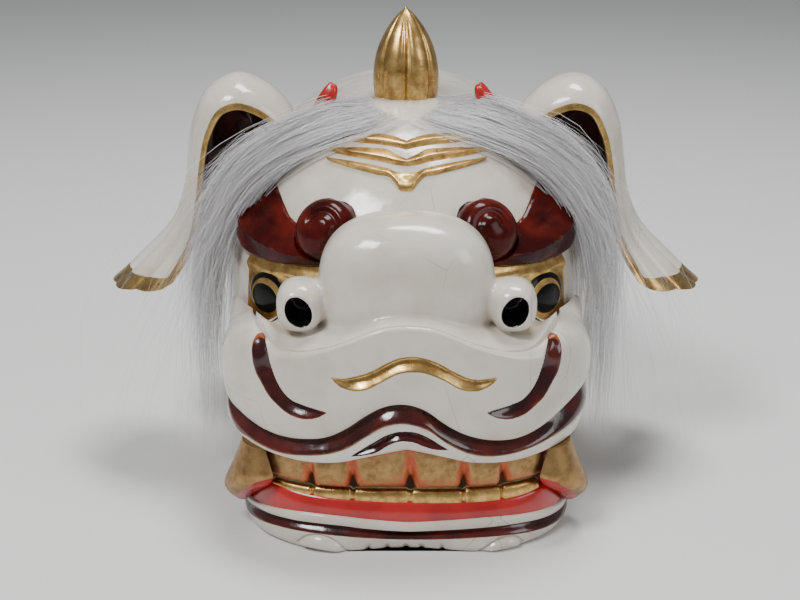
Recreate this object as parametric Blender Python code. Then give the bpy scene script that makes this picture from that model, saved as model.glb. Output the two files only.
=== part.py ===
"""Lion dance head: a carved and lacquered wooden lion head with a hinged lower jaw.

Metres, +Z up. The face looks along -Y and +X is to a viewer's right.
The origin is on the jaw's flat underside, which the head stands on.
"""

import math

import bmesh
import bpy
import numpy as np

# Driving sizes of the whole head
LIP_DEPTH = 0.105          # the lip's front lies this far in front of the origin
HEAD_DEPTH = 0.200         # lip front to back rim
WALL = 0.007               # carved wall
CLEAR = 0.0003             # gap between pieces that touch
SURFACE_GAP = 0.0006       # gap between curved faces with different facets
MUZZLE_HEIGHT = 0.1055     # top of the muzzle's front face at the middle

# Skull: a round front that runs back as an arch, with side walls
SKULL_BELOW = 0.0155       # its widest level lies this far below the muzzle's top
SKULL_HALF_WIDTH = 0.088
SKULL_REACH = 0.088        # from its widest section forward to its front
SKULL_RISE = 0.086         # from its widest level up to the crown
SKULL_DEPTH = 0.125        # widest section, behind the lip front
SKULL_LEVEL = MUZZLE_HEIGHT - SKULL_BELOW
SKULL_TOP = SKULL_LEVEL + SKULL_RISE
SKULL_FRONT_LOW = 0.072    # lower edge behind the cheeks
STEP_TURN = 1.5            # degrees over which the edge steps down to the side walls
SIDE_LOW = 0.047           # lower edge of the side walls
LEG_STEP = 0.0005          # behind the widest section the side walls step to the floor
LEG_DEPTH = SKULL_DEPTH + LEG_STEP
SIDE_FLARE = 0.004         # the side walls lean out by this much at the floor

# Hinge
HINGE_BEHIND = 0.015       # the rod lies this far behind the skull's widest section
HINGE_DEPTH = SKULL_DEPTH + HINGE_BEHIND
HINGE_HEIGHT = 0.050
ROD_RADIUS = 0.004
ROD_CLEAR = 0.0003
ROD_SIDES = 20

# Muzzle and upper lip
MUZZLE_HALF_WIDTH = 0.081
MUZZLE_LENGTH = 0.080
MUZZLE_SQUARE = 3.0        # exponent of its rounded plan
LIP_HEIGHT = 0.0498        # lower edge of the lip at the middle
LIP_SPLIT = 0.0710         # lower edge of the muzzle at the middle
LIP_INSET = 0.003          # how far the lip lies behind the muzzle's face
SHELF_SLOPE = 0.25         # rise of the shelf behind the front face
SHELF_LENGTH = 0.013
CHEEK_RISE = 0.006         # how far the cheek lobes swell above the shelf
CHEEK_FALL = 0.0175        # how far they fall towards the skull
MUZZLE_PLAN = (MUZZLE_HALF_WIDTH, MUZZLE_LENGTH, MUZZLE_SQUARE, 0.0)

# Nose and nostrils
NOSE_HALF_WIDTH = 0.0358
NOSE_FRONT = 0.009         # behind the lip front
NOSE_ABOVE = 0.037         # from the muzzle's top to the nose's
NOSE_TOP = MUZZLE_HEIGHT + NOSE_ABOVE
NOSE_TAPER = 0.20          # share of its width that it loses towards the skull
NOSTRIL_PLACE = 0.0455
NOSTRIL_ABOVE = 0.01445    # from the shelf at its front to the nostril's middle
NOSTRIL_HALF_WIDTH = 0.0105
NOSTRIL_HALF_HEIGHT = 0.0125
NOSTRIL_FRONT = 0.013
NOSTRIL_LENGTH = 0.023
NOSTRIL_HOLE = 0.0062
NOSTRIL_HOLE_DEPTH = 0.013

# Low relief on the skull
BROW_RELIEF = 0.0115
SOCKET_RELIEF = 0.0015
PUPIL_RADIUS = 0.0092
PUPIL_RELIEF = 0.0025
EYE_AZIMUTH = 45.0
EYE_ELEVATION = 3.4
LINE_RELIEF = 0.0015

# Horn
HORN_HALF_WIDTH = 0.0155
HORN_HEIGHT = 0.0405       # above the skull
HORN_TOP = SKULL_TOP + HORN_HEIGHT
HORN_DEPTH = 0.128
HORN_RIB = 0.0011

# Ears
EAR_REACH = 0.143          # the tip, from the middle plane
EAR_ABOVE = 0.012          # the arch rises this far above the skull
EAR_TOP = SKULL_TOP + EAR_ABOVE
EAR_DEPTH = 0.115
EAR_HALF_WIDTH = 0.034
EAR_CURL = 0.030
EAR_WALL = 0.005
EAR_SCALLOP = 0.0025
TAB_HEIGHT = 0.014
TAB_HALF_WIDTH = 0.0075
TAB_THICK = 0.005

# Hair
HAIR_LIFT = 0.024
HAIR_THICK = 0.004
HAIR_RIDGE = 0.003
HAIR_LOCKS = 5
HAIR_TIP = 0.018

# Lower jaw
JAW_HALF_WIDTH = 0.076
JAW_LENGTH = 0.080
JAW_SQUARE = 3.5
JAW_INSET = 0.002
JAW_HEIGHT = 0.0148
JAW_WALL = 0.009
JAW_FLOOR = 0.006
LUG_BEHIND = 0.010         # the lugs reach this far behind the rod's middle
LUG_ABOVE = 0.0105         # and this far above it
JAW_REAR = HINGE_DEPTH + LUG_BEHIND
LUG_HEIGHT = HINGE_HEIGHT + LUG_ABOVE
CHIN_ROUND = 0.004
GUM_TOP = 0.0262
GUM_INSET = 0.0035
LOWER_TEETH_TOP = 0.0300
TEETH_THICK = 0.0045
JAW_PLAN = (JAW_HALF_WIDTH, JAW_LENGTH, JAW_SQUARE, JAW_INSET)

# Upper teeth and tusks
UPPER_TEETH_LOW = 0.0345
UPPER_TEETH_INSET = 0.0045
UPPER_TEETH_HALF_WIDTH = 0.0565
TEETH_NOTCH = 0.0016
TUSK_LOW = 0.0110
TUSK_BULGE = 0.0095

WELD = 0.000002

# Muzzle sections: place is x as a share of the half width, top and split and low are
# shares of the three heights at the middle, and round is the top edge's radius as a
# multiple of the wall.
MUZZLE_COLUMNS = ("place", "top", "split", "low", "round")
MUZZLE_SECTIONS = (
    (0.00, 1.000, 1.000, 1.000, 0.45),
    (0.13, 0.988, 0.955, 0.955, 0.45),
    (0.24, 0.955, 0.870, 0.915, 0.45),
    (0.34, 0.920, 0.785, 0.880, 0.45),
    (0.45, 0.890, 0.755, 0.865, 0.50),
    (0.56, 0.868, 0.745, 0.862, 0.60),
    (0.66, 0.866, 0.768, 0.872, 0.80),
    (0.75, 0.890, 0.810, 0.885, 1.30),
    (0.84, 0.905, 0.875, 0.900, 1.70),
    (0.92, 0.890, 0.930, 0.925, 1.90),
    (0.97, 0.868, 0.970, 0.950, 1.90),
    (1.00, 0.855, 1.000, 0.975, 1.80),
)

# Nose sections, from above the shelf to the top: level as a share of the way up, width as
# a share of the half width, and setback as a share of it behind the nose's front.
NOSE_COLUMNS = ("level", "width", "setback")
NOSE_SECTIONS = (
    (0.00, 0.96, 0.10),
    (0.14, 1.00, 0.02),
    (0.32, 0.99, 0.00),
    (0.52, 0.95, 0.04),
    (0.70, 0.87, 0.14),
    (0.84, 0.74, 0.29),
    (0.93, 0.61, 0.43),
    (1.00, 0.44, 0.60),
)

# Nostril lobe from back to front: place as a share of its length, and size as a share
NOSTRIL_SECTIONS = (
    (1.00, 0.40),
    (0.93, 0.66),
    (0.80, 0.86),
    (0.60, 0.98),
    (0.36, 1.00),
    (0.18, 0.97),
    (0.07, 0.90),
    (0.00, 0.76),
)

# Brow outline on the skull, from its outer end to the curl: degrees, and relief as a share
BROW_COLUMNS = ("azimuth", "lower", "upper", "relief")
BROW_SECTIONS = (
    (69.0, 22.0, 33.0, 0.30),
    (65.0, 18.0, 36.5, 0.60),
    (58.0, 15.5, 37.5, 0.75),
    (51.0, 14.5, 34.5, 0.75),
    (44.0, 14.8, 30.5, 0.65),
    (38.5, 15.2, 28.0, 0.55),
    (35.0, 15.5, 33.0, 0.80),
    (30.5, 16.2, 36.8, 0.97),
    (25.0, 18.0, 37.6, 1.00),
    (20.5, 21.5, 35.5, 0.80),
)

# Gold eye socket under the brow, in degrees on the skull
SOCKET_COLUMNS = ("azimuth", "lower", "upper")
SOCKET_SECTIONS = (
    (63.0, -1.5, 13.0),
    (58.0, -3.8, 13.6),
    (51.0, -4.2, 13.4),
    (44.0, -4.0, 13.6),
    (37.0, -0.5, 14.0),
    (31.0, 5.5, 14.6),
    (26.5, 10.5, 15.4),
)

# Forehead lines: the line's middle height and half height in degrees, by azimuth
LINE_COLUMNS = ("azimuth", "middle", "half_height")
FOREHEAD_LINES = (
    ((0.0, 57.6, 1.1), (7.0, 59.6, 1.3), (20.0, 60.0, 1.3), (36.0, 59.3, 1.0), (43.0, 58.8, 0.4)),
    ((0.0, 51.0, 1.2), (8.0, 53.2, 1.5), (18.0, 54.0, 1.4), (32.0, 52.9, 1.1), (39.0, 52.3, 0.4)),
    ((0.0, 44.6, 1.6), (6.0, 46.4, 1.4), (12.0, 48.0, 1.2), (25.0, 50.0, 1.0), (37.0, 50.2, 0.4)),
)

# Horn profile: share of the way up, and radius as a share of the half width
HORN_COLUMNS = ("level", "radius")
HORN_SECTIONS = (
    (0.00, 0.96),
    (0.15, 1.00),
    (0.35, 0.98),
    (0.55, 0.85),
    (0.72, 0.64),
    (0.86, 0.38),
    (0.95, 0.18),
    (1.00, 0.06),
)

# Ear sections from the root over the arch to the tip. reach and level are shares of the
# tip's reach and the arch's height, lean turns the open side from down (0) to inward (90),
# width and curl are shares of the half width and the curl at the tip.
EAR_COLUMNS = ("reach", "level", "lean", "width", "curl")
EAR_SECTIONS = (
    (0.335, 0.860, -28.0, 0.45, 0.26),
    (0.385, 0.925, -24.0, 0.50, 0.34),
    (0.460, 0.978, -8.0, 0.56, 0.42),
    (0.555, 1.000, 12.0, 0.60, 0.46),
    (0.645, 0.965, 40.0, 0.61, 0.42),
    (0.700, 0.885, 66.0, 0.60, 0.38),
    (0.722, 0.795, 80.0, 0.62, 0.34),
    (0.740, 0.715, 84.0, 0.67, 0.36),
    (0.785, 0.630, 84.0, 0.77, 0.50),
    (0.875, 0.555, 86.0, 0.90, 0.76),
    (1.000, 0.480, 90.0, 1.00, 1.00),
)

# Hair between two edges on the skull's own angles; lift is a share of the hair's lift
HAIR_COLUMNS = ("front_azimuth", "front_elevation", "front_lift",
                "rear_azimuth", "rear_elevation", "rear_lift")
HAIR_SECTIONS = (
    (20.0, 68.0, 0.30, 62.0, 78.0, 0.22),
    (40.0, 57.5, 0.30, 58.0, 68.0, 0.34),
    (50.0, 49.0, 0.36, 56.0, 60.0, 0.52),
    (57.0, 40.0, 0.62, 58.0, 50.0, 0.80),
    (62.0, 28.0, 0.66, 62.0, 41.0, 0.98),
    (64.0, 15.0, 0.62, 66.0, 29.0, 1.00),
    (64.0, 1.0, 0.52, 68.0, 14.0, 0.85),
    (64.0, -16.0, 0.46, 68.0, -6.0, 0.70),
    (63.0, -33.0, 0.44, 67.0, -36.0, 0.62),
)

# Jaw side walls behind the corner of the mouth: depth as a share of the jaw's length from
# lip to rear, and top as a share of the way from the jaw's height to the lug's
JAW_SIDE_COLUMNS = ("depth", "top")
JAW_SIDE_SECTIONS = (
    (0.62, 0.10),
    (0.72, 0.32),
    (0.80, 0.52),
    (0.865, 0.90),
    (0.895, 1.00),
    (0.965, 1.00),
    (1.00, 0.88),
)

# Tusk sections from the lip down: level as a share of the way up, start and end as angles
# on the jaw's plan, and bulge as a share
TUSK_COLUMNS = ("level", "start", "end", "bulge")
TUSK_SECTIONS = (
    (1.00, 42.0, 60.0, 0.62),
    (0.84, 40.0, 62.5, 0.78),
    (0.62, 37.5, 66.0, 0.96),
    (0.40, 36.0, 69.0, 1.00),
    (0.22, 37.0, 68.0, 0.92),
    (0.08, 40.5, 64.0, 0.70),
    (0.00, 46.0, 58.0, 0.45),
)

MATERIALS = {
    "white_lacquer": ((0.74, 0.70, 0.64), 0.22, 0.0),
    "maroon_lacquer": ((0.16, 0.015, 0.012), 0.20, 0.0),
    "vermilion_lacquer": ((0.42, 0.02, 0.018), 0.25, 0.0),
    "gold_leaf": ((0.55, 0.36, 0.12), 0.35, 1.0),
    "black_lacquer": ((0.01, 0.01, 0.01), 0.15, 0.0),
    "pale_hair": ((0.58, 0.56, 0.58), 0.6, 0.0),
    "plain_wood": ((0.42, 0.27, 0.15), 0.6, 0.0),
}


def clear_scene():
    for item in list(bpy.data.objects):
        bpy.data.objects.remove(item, do_unlink=True)


def make_material(name):
    colour, roughness, metallic = MATERIALS[name]
    material = bpy.data.materials.get(name) or bpy.data.materials.new(name)
    material.use_nodes = True
    shader = material.node_tree.nodes["Principled BSDF"]
    shader.inputs["Base Color"].default_value = (*colour, 1.0)
    shader.inputs["Roughness"].default_value = roughness
    shader.inputs["Metallic"].default_value = metallic
    return material


def depth(distance):
    """World y of a place this far behind the lip's front."""
    return distance - LIP_DEPTH


def column(sections, columns, key, by, at):
    """A table's column, read smoothly against another column at a value."""
    xs = np.array([row[columns.index(by)] for row in sections])
    ys = np.array([row[columns.index(key)] for row in sections])
    if xs[0] > xs[-1]:
        xs = xs[::-1]
        ys = ys[::-1]
    slopes = np.gradient(ys, xs)
    at = min(max(at, xs[0]), xs[-1])
    i = min(int(np.searchsorted(xs, at, side="right")) - 1, len(xs) - 2)
    span = xs[i + 1] - xs[i]
    t = (at - xs[i]) / span
    start = (1 + 2 * t) * (1 - t) ** 2 * ys[i] + t * (1 - t) ** 2 * span * slopes[i]
    end = t * t * (3 - 2 * t) * ys[i + 1] - t * t * (1 - t) * span * slopes[i + 1]
    return float(start + end)


def along(sections, columns, key, share):
    """A table's column read smoothly by row, share 0 at the first row and 1 at the last."""
    rows = [(i / (len(sections) - 1), row[columns.index(key)]) for i, row in enumerate(sections)]
    return column(rows, ("share", "value"), "value", "share", share)


def smooth(low, high, value):
    t = min(max((value - low) / (high - low), 0.0), 1.0)
    return t * t * (3 - 2 * t)


def grid_faces(rows, columns, closed=False):
    faces = []
    for i in range(rows - 1):
        for j in range(columns if closed else columns - 1):
            k = (j + 1) % columns
            faces.append((i * columns + j, i * columns + k, (i + 1) * columns + k,
                          (i + 1) * columns + j))
    return faces


def add_object(name, points, faces, material, smooth_angle=40.0):
    """One closed body with its faces turned outwards."""
    mesh = bpy.data.meshes.new(name)
    work = bmesh.new()
    vertices = [work.verts.new(p) for p in points]
    for face in faces:
        if len(set(face)) > 2:
            try:
                work.faces.new([vertices[i] for i in face])
            except ValueError:
                continue
    bmesh.ops.remove_doubles(work, verts=work.verts, dist=WELD)
    loose = [v for v in work.verts if not v.link_faces]
    bmesh.ops.delete(work, geom=loose, context="VERTS")
    bmesh.ops.recalc_face_normals(work, faces=work.faces)
    work.to_mesh(mesh)
    work.free()
    mesh.shade_smooth()
    mesh.set_sharp_from_angle(angle=math.radians(smooth_angle))
    item = bpy.data.objects.new(name, mesh)
    item.data.materials.append(make_material(material))
    bpy.context.collection.objects.link(item)
    return item


def thicken(name, outer, inner, faces, material):
    """A sheet with two sides: outer and inner have the same order of points."""
    keys = {}
    index = []
    for point in outer:
        key = tuple(round(c / WELD) for c in point)
        index.append(keys.setdefault(key, len(index)))
    kept = []
    for face in faces:
        ring = []
        for corner in (index[i] for i in face):
            if corner not in ring:
                ring.append(corner)
        if len(ring) > 2:
            kept.append(tuple(ring))
    edges = {}
    for face in kept:
        for a, b in zip(face, face[1:] + face[:1]):
            edges[(a, b)] = edges.get((a, b), 0) + 1
    count = len(outer)
    solid = list(kept)
    solid += [tuple(count + i for i in reversed(face)) for face in kept]
    for a, b in edges:
        if (b, a) not in edges:
            solid.append((b, a, count + a, count + b))
    return add_object(name, list(outer) + list(inner), solid, material)


def loft(name, rings, material):
    """Closed rings of equal length, joined in order and capped at both ends."""
    size = len(rings[0])
    points = [p for ring in rings for p in ring]
    faces = grid_faces(len(rings), size, closed=True)
    faces.append(tuple(reversed(range(size))))
    last = (len(rings) - 1) * size
    faces.append(tuple(range(last, last + size)))
    return add_object(name, points, faces, material)


def cut(item, tool):
    """Take a tool's shape out of an item, and put the tool out of sight."""
    tool.hide_render = True
    tool.display_type = "WIRE"
    modifier = item.modifiers.new("bore", "BOOLEAN")
    modifier.operation = "DIFFERENCE"
    modifier.solver = "EXACT"
    modifier.object = tool


def skull_point(azimuth, elevation, offset=0.0):
    """A place on the skull's front: 0, 0 looks ahead; below the widest level it drops."""
    turn = math.radians(azimuth)
    rise = math.radians(max(elevation, 0.0))
    x = (SKULL_HALF_WIDTH + offset) * math.cos(rise) * math.sin(turn)
    y = depth(SKULL_DEPTH) - (SKULL_REACH + offset) * math.cos(rise) * math.cos(turn)
    z = SKULL_LEVEL + (SKULL_RISE + offset) * math.sin(rise)
    z += SKULL_RISE * math.radians(min(elevation, 0.0))
    return (x, y, z)


def skull_measure(x, y, z, offset=0.0):
    """Below 1 inside the skull's outer face, above 1 outside it."""
    back = min(y - depth(SKULL_DEPTH), 0.0)
    up = max(z - SKULL_LEVEL, 0.0)
    return ((x / (SKULL_HALF_WIDTH + offset)) ** 2 + (back / (SKULL_REACH + offset)) ** 2
            + (up / (SKULL_RISE + offset)) ** 2)


def skull_height(x, y, offset=0.0):
    back = min(y - depth(SKULL_DEPTH), 0.0)
    rest = 1 - (x / (SKULL_HALF_WIDTH + offset)) ** 2 - (back / (SKULL_REACH + offset)) ** 2
    return SKULL_LEVEL + (SKULL_RISE + offset) * math.sqrt(max(rest, 0.0))


def skull_front(x, z, offset=0.0):
    """World y where the skull's front face is met at x and z."""
    up = max(z - SKULL_LEVEL, 0.0)
    rest = 1 - (x / (SKULL_HALF_WIDTH + offset)) ** 2 - (up / (SKULL_RISE + offset)) ** 2
    return depth(SKULL_DEPTH) - (SKULL_REACH + offset) * math.sqrt(max(rest, 0.0))


def plan(turn, half_width, length, square, front):
    """A place on a U-shaped plan and its inward direction; turn runs from -90 to 90."""
    angle = math.radians(min(max(turn, -90.0), 90.0))
    s = abs(math.sin(angle)) ** (2 / square)
    c = abs(math.cos(angle)) ** (2 / square)
    side = math.copysign(1.0, angle)
    x = side * half_width * s
    y = depth(front) + length * (1 - c)
    nx = -side * (s ** (square - 1)) / half_width
    ny = (c ** (square - 1)) / length
    size = math.hypot(nx, ny)
    return x, y, nx / size, ny / size


def even_turns(count, limit, shape):
    """Plan angles from -limit to limit that lie equally far apart along a plan."""
    turns = np.linspace(-limit, limit, 2001)
    places = np.array([plan(turn, *shape)[:2] for turn in turns])
    run = np.concatenate(([0.0], np.cumsum(np.hypot(*np.diff(places, axis=0).T))))
    return [float(t) for t in np.interp(np.linspace(0.0, run[-1], count), run, turns)]


# Skull

def skull_low(azimuth):
    """The lower edge of the skull's front part."""
    return SIDE_LOW if abs(azimuth) > cheek_azimuth() + STEP_TURN / 2 else SKULL_FRONT_LOW


def cheek_azimuth():
    """Where the side walls start, just inside the muzzle's rear."""
    inner = MUZZLE_HALF_WIDTH - WALL - SURFACE_GAP * 2
    return math.degrees(math.asin(inner / SKULL_HALF_WIDTH)) - 1.0


def skull_faces():
    """Outer and inner points of the skull with the faces that join them."""
    outer = []
    inner = []
    faces = []
    levels = 11
    drops = 3
    start = cheek_azimuth()
    azimuths = list(np.linspace(-90.0, -start - STEP_TURN, 4)) + list(np.linspace(-start, start, 15))
    azimuths += list(np.linspace(start + STEP_TURN, 90.0, 4))
    for azimuth in azimuths:
        low = skull_low(azimuth)
        for side, offset in ((outer, 0.0), (inner, -WALL)):
            for i in range(drops):
                share = i / drops
                x, y, z = skull_point(azimuth, 0.0, offset)
                side.append((x, y, low + (SKULL_LEVEL - low) * share))
            for i in range(levels):
                side.append(skull_point(azimuth, 90 * i / (levels - 1), offset))
    rows = len(azimuths)
    faces += grid_faces(rows, drops + levels)
    base = len(outer)
    back_depths = [SKULL_DEPTH, LEG_DEPTH] + list(np.linspace(LEG_DEPTH, HEAD_DEPTH, 6)[1:])
    for place in back_depths:
        low = SIDE_LOW if place <= SKULL_DEPTH else 0.0
        flare = SIDE_FLARE * smooth(SKULL_DEPTH, SKULL_DEPTH + 0.02, place)
        for side, offset in ((outer, 0.0), (inner, -WALL)):
            arch = [skull_point(-90.0, 90 * i / (levels - 1), offset) for i in range(levels)]
            half = []
            for i in range(drops):
                share = i / drops
                z = low + (SKULL_LEVEL - low) * share
                lean = flare * (1 - z / SKULL_LEVEL) ** 2
                half.append((arch[0][0] - lean, z))
            half += [(p[0], p[2]) for p in arch]
            whole = half + [(-x, z) for x, z in reversed(half[:-1])]
            side += [(x, depth(place), z) for x, z in whole]
    width = 2 * (drops + levels) - 1
    faces += [tuple(base + i for i in reversed(f)) for f in grid_faces(len(back_depths), width)]
    return outer, inner, faces


def make_skull():
    outer, inner, faces = skull_faces()
    skull = thicken("skull", outer, inner, faces, "white_lacquer")
    cut(skull, rod_cutter("skull_bore"))
    return skull


def rod_points(radius, half_length):
    rings = []
    for x in (-half_length, half_length):
        rings.append([(x, depth(HINGE_DEPTH) + radius * math.cos(2 * math.pi * i / ROD_SIDES),
                       HINGE_HEIGHT + radius * math.sin(2 * math.pi * i / ROD_SIDES))
                      for i in range(ROD_SIDES)])
    return rings


def rod_cutter(name):
    return loft(name, rod_points(ROD_RADIUS + ROD_CLEAR, SKULL_HALF_WIDTH + SIDE_FLARE + WALL),
                "plain_wood")


def make_hinge_rod():
    return loft("hinge_rod", rod_points(ROD_RADIUS, SKULL_HALF_WIDTH - CLEAR), "plain_wood")


# Muzzle and upper lip

def muzzle_value(key, x):
    share = min(abs(x) / MUZZLE_HALF_WIDTH, 1.0)
    return column(MUZZLE_SECTIONS, MUZZLE_COLUMNS, key, "place", share)


def muzzle_edge(x):
    """World y of the muzzle's front face at x."""
    share = min(abs(x) / MUZZLE_HALF_WIDTH, 1.0)
    return depth(0.0) + MUZZLE_LENGTH * (1 - (1 - share ** MUZZLE_SQUARE) ** (1 / MUZZLE_SQUARE))


def roof_height(x, y):
    """Top of the shelf and cheeks at a place behind the front face."""
    back = max(y - muzzle_edge(x), 0.0)
    top = MUZZLE_HEIGHT * muzzle_value("top", x)
    cheek = smooth(0.62, 0.84, abs(x) / MUZZLE_HALF_WIDTH)
    shelf = SHELF_SLOPE * min(back, SHELF_LENGTH)
    swell = CHEEK_RISE * math.sin(math.pi * min(back / (2 * SHELF_LENGTH), 1.0))
    fall = CHEEK_FALL * smooth(SHELF_LENGTH, 4 * SHELF_LENGTH, back)
    return top + shelf * (1 - cheek) + (swell - fall) * cheek


def muzzle_turns():
    return even_turns(33, 90.0, MUZZLE_PLAN)


def muzzle_line(turn):
    """The muzzle's section at a plan angle, from its lower edge up and in to the skull."""
    x, y, nx, ny = plan(turn, *MUZZLE_PLAN)
    swing = smooth(34.0, 88.0, abs(turn)) * math.pi / 2
    inward = (-math.copysign(math.sin(swing), x), math.cos(swing))
    return x, y, (nx, ny), inward


def reach_skull(x, y, inward, z, offset):
    """How far along inward the skull is met."""
    low = 0.0
    high = 0.10
    if skull_measure(x, y, z, offset) < 1:
        return 0.0
    for _ in range(40):
        middle = (low + high) / 2
        px = x + inward[0] * middle
        py = y + inward[1] * middle
        if skull_measure(px, py, max(z, SKULL_LEVEL), offset) < 1:
            high = middle
        else:
            low = middle
    return high


def roof_shares(shelf):
    """Places on the way from the front edge to the skull, one of them where the shelf ends."""
    rest = 1 - shelf
    return (0.0, shelf, shelf + rest * 0.3, shelf + rest * 0.65, 1.0)


def make_muzzle():
    outer = []
    inner = []
    wall_rows = 3
    round_rows = 3
    turns = muzzle_turns()
    for turn in turns:
        x, y, normal, inward = muzzle_line(turn)
        split = LIP_SPLIT * muzzle_value("split", x) + CLEAR
        top = roof_height(x, y)
        seat = 2 * SURFACE_GAP + SOCKET_RELIEF
        room = reach_skull(x, y, inward, top, seat)
        radius = min(WALL * muzzle_value("round", x), room * 0.7)
        shoulder = top - radius
        start = (x + inward[0] * radius, y + inward[1] * radius)
        far = reach_skull(*start, inward, top, seat)
        for _ in range(4):
            place = (start[0] + inward[0] * far, start[1] + inward[1] * far)
            far = reach_skull(*start, inward, roof_height(*place), seat)
        low_start = wall_inside(x, y, normal, split)
        low_top = roof_height(low_start[0], low_start[1]) - WALL
        low_far = reach_skull(low_start[0], low_start[1], inward, SKULL_LEVEL, seat)
        for i in range(wall_rows + round_rows):
            if i < wall_rows:
                outer.append((x, y, split + (shoulder - split) * i / wall_rows))
            else:
                angle = math.pi / 2 * (i - wall_rows) / round_rows
                push = radius * (1 - math.cos(angle))
                outer.append((x + inward[0] * push, y + inward[1] * push,
                              shoulder + radius * math.sin(angle)))
            z = split + (low_top - split) * i / (wall_rows + round_rows)
            inner.append((low_start[0], low_start[1], z))
        shelf = min(max(SHELF_LENGTH - radius, 0.0) / max(far, CLEAR), 0.5)
        for share in roof_shares(shelf):
            px = start[0] + inward[0] * far * share
            py = start[1] + inward[1] * far * share
            outer.append((px, py, roof_height(px, py)))
            qx = low_start[0] + inward[0] * low_far * share
            qy = low_start[1] + inward[1] * low_far * share
            inner.append((qx, qy, roof_height(qx, qy) - WALL))
    rows = wall_rows + round_rows + len(roof_shares(0.5))
    return thicken("muzzle", outer, inner, grid_faces(len(turns), rows), "white_lacquer")


def wall_inside(x, y, normal, z):
    """The inner face of the muzzle's wall, kept outside the skull's side wall."""
    inside = (x + normal[0] * WALL, y + normal[1] * WALL)
    skull = skull_measure(inside[0], inside[1], SKULL_LEVEL, SURFACE_GAP)
    if skull < 1:
        turn = math.atan2(x, depth(SKULL_DEPTH) - y)
        edge = skull_point(math.degrees(turn), 0.0, SURFACE_GAP)
        inside = (edge[0], edge[1])
    return (inside[0], inside[1], z)


def make_upper_lip():
    rings = []
    for turn in muzzle_turns():
        x, y, normal, _ = muzzle_line(turn)
        split = LIP_SPLIT * muzzle_value("split", x)
        low = LIP_HEIGHT * muzzle_value("low", x)
        profile = (
            (LIP_INSET * 0.2, low),
            (0.0, low + (split - low) * 0.22),
            (LIP_INSET * 0.5, low + (split - low) * 0.36),
            (LIP_INSET, low + (split - low) * 0.52),
            (LIP_INSET * 0.8, split),
        )
        ring = [(x + normal[0] * push, y + normal[1] * push, z) for push, z in profile]
        ring.append(wall_inside(x, y, normal, split))
        ring.append(wall_inside(x, y, normal, low))
        rings.append(ring)
    return loft("upper_lip", rings, "white_lacquer")


# Nose and nostrils

def nose_level(x, y, z, share):
    """A nose height, bent to follow the shelf near the bottom."""
    base = roof_height(0.0, depth(NOSE_FRONT))
    blend = 1 - smooth(0.0, 0.32, share)
    return z + (roof_height(x, y) + SURFACE_GAP - base) * blend


def nose_back(x, z, share):
    """Where the nose meets the skull at x: y and its bent height."""
    y = skull_front(x, z, SURFACE_GAP)
    for _ in range(5):
        level = nose_level(x, y, z, share)
        y = skull_front(x, level, SURFACE_GAP)
    return y, level


def make_nose():
    front_steps = 14
    back_steps = 8
    base = roof_height(0.0, depth(NOSE_FRONT))
    levels = 11
    rings = []
    for k in range(levels):
        share = k / (levels - 1)
        width = NOSE_HALF_WIDTH * column(NOSE_SECTIONS, NOSE_COLUMNS, "width", "level", share)
        setback = NOSE_HALF_WIDTH * column(NOSE_SECTIONS, NOSE_COLUMNS, "setback", "level", share)
        z = base + (NOSE_TOP - base) * share
        front = depth(NOSE_FRONT) + setback
        ring = []
        root = width * (1 - NOSE_TAPER)
        sides, _ = nose_back(root, z, share)
        for i in range(front_steps + 1):
            angle = math.pi * i / front_steps - math.pi / 2
            s = math.copysign(abs(math.sin(angle)) ** 0.78, angle)
            c = abs(math.cos(angle)) ** 0.78
            x = width * s * (1 - NOSE_TAPER * (1 - c))
            y = front + (sides - front) * (1 - c)
            ring.append((x, y, nose_level(x, y, z, share)))
        for i in range(1, back_steps):
            x = root * (1 - 2 * i / back_steps)
            y, level = nose_back(x, z, share)
            ring.append((x, y, level))
        rings.append(ring)
    middle = depth(NOSE_FRONT) + NOSE_HALF_WIDTH * 0.6
    for share in (0.75, 0.45, 0.15):
        foot = [(x * share, middle + (y - middle) * share) for x, y, _ in rings[-levels]]
        rings.insert(0, [(x, y, roof_height(x, y) + SURFACE_GAP) for x, y in foot])
    return loft("nose", rings, "white_lacquer")


def make_nostril(side):
    steps = 16
    inner_side = NOSE_HALF_WIDTH + SURFACE_GAP
    level = roof_height(NOSTRIL_PLACE, depth(NOSTRIL_FRONT)) + NOSTRIL_ABOVE

    def ring(place, scale, hole=False):
        points = []
        for i in range(steps):
            angle = 2 * math.pi * i / steps
            width = NOSTRIL_HOLE * 0.8 if hole else NOSTRIL_HALF_WIDTH
            height = NOSTRIL_HOLE * 1.1 if hole else NOSTRIL_HALF_HEIGHT
            x = NOSTRIL_PLACE + width * scale * math.cos(angle)
            z = level + height * scale * math.sin(angle)
            x = max(x, inner_side)
            y = depth(place)
            z = max(z, roof_height(x, y) + SURFACE_GAP)
            points.append((side * x, y, z))
        return points

    rings = [ring(NOSTRIL_FRONT + NOSTRIL_LENGTH * behind, scale) for behind, scale in NOSTRIL_SECTIONS]
    rings.append(ring(NOSTRIL_FRONT + 0.0002, 1.15, hole=True))
    rings.append(ring(NOSTRIL_FRONT + 0.003, 0.98, hole=True))
    rings.append(ring(NOSTRIL_FRONT + NOSTRIL_HOLE_DEPTH, 0.80, hole=True))
    name = "nostril_left" if side < 0 else "nostril_right"
    return loft(name, rings, "white_lacquer")


# Relief on the skull

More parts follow.
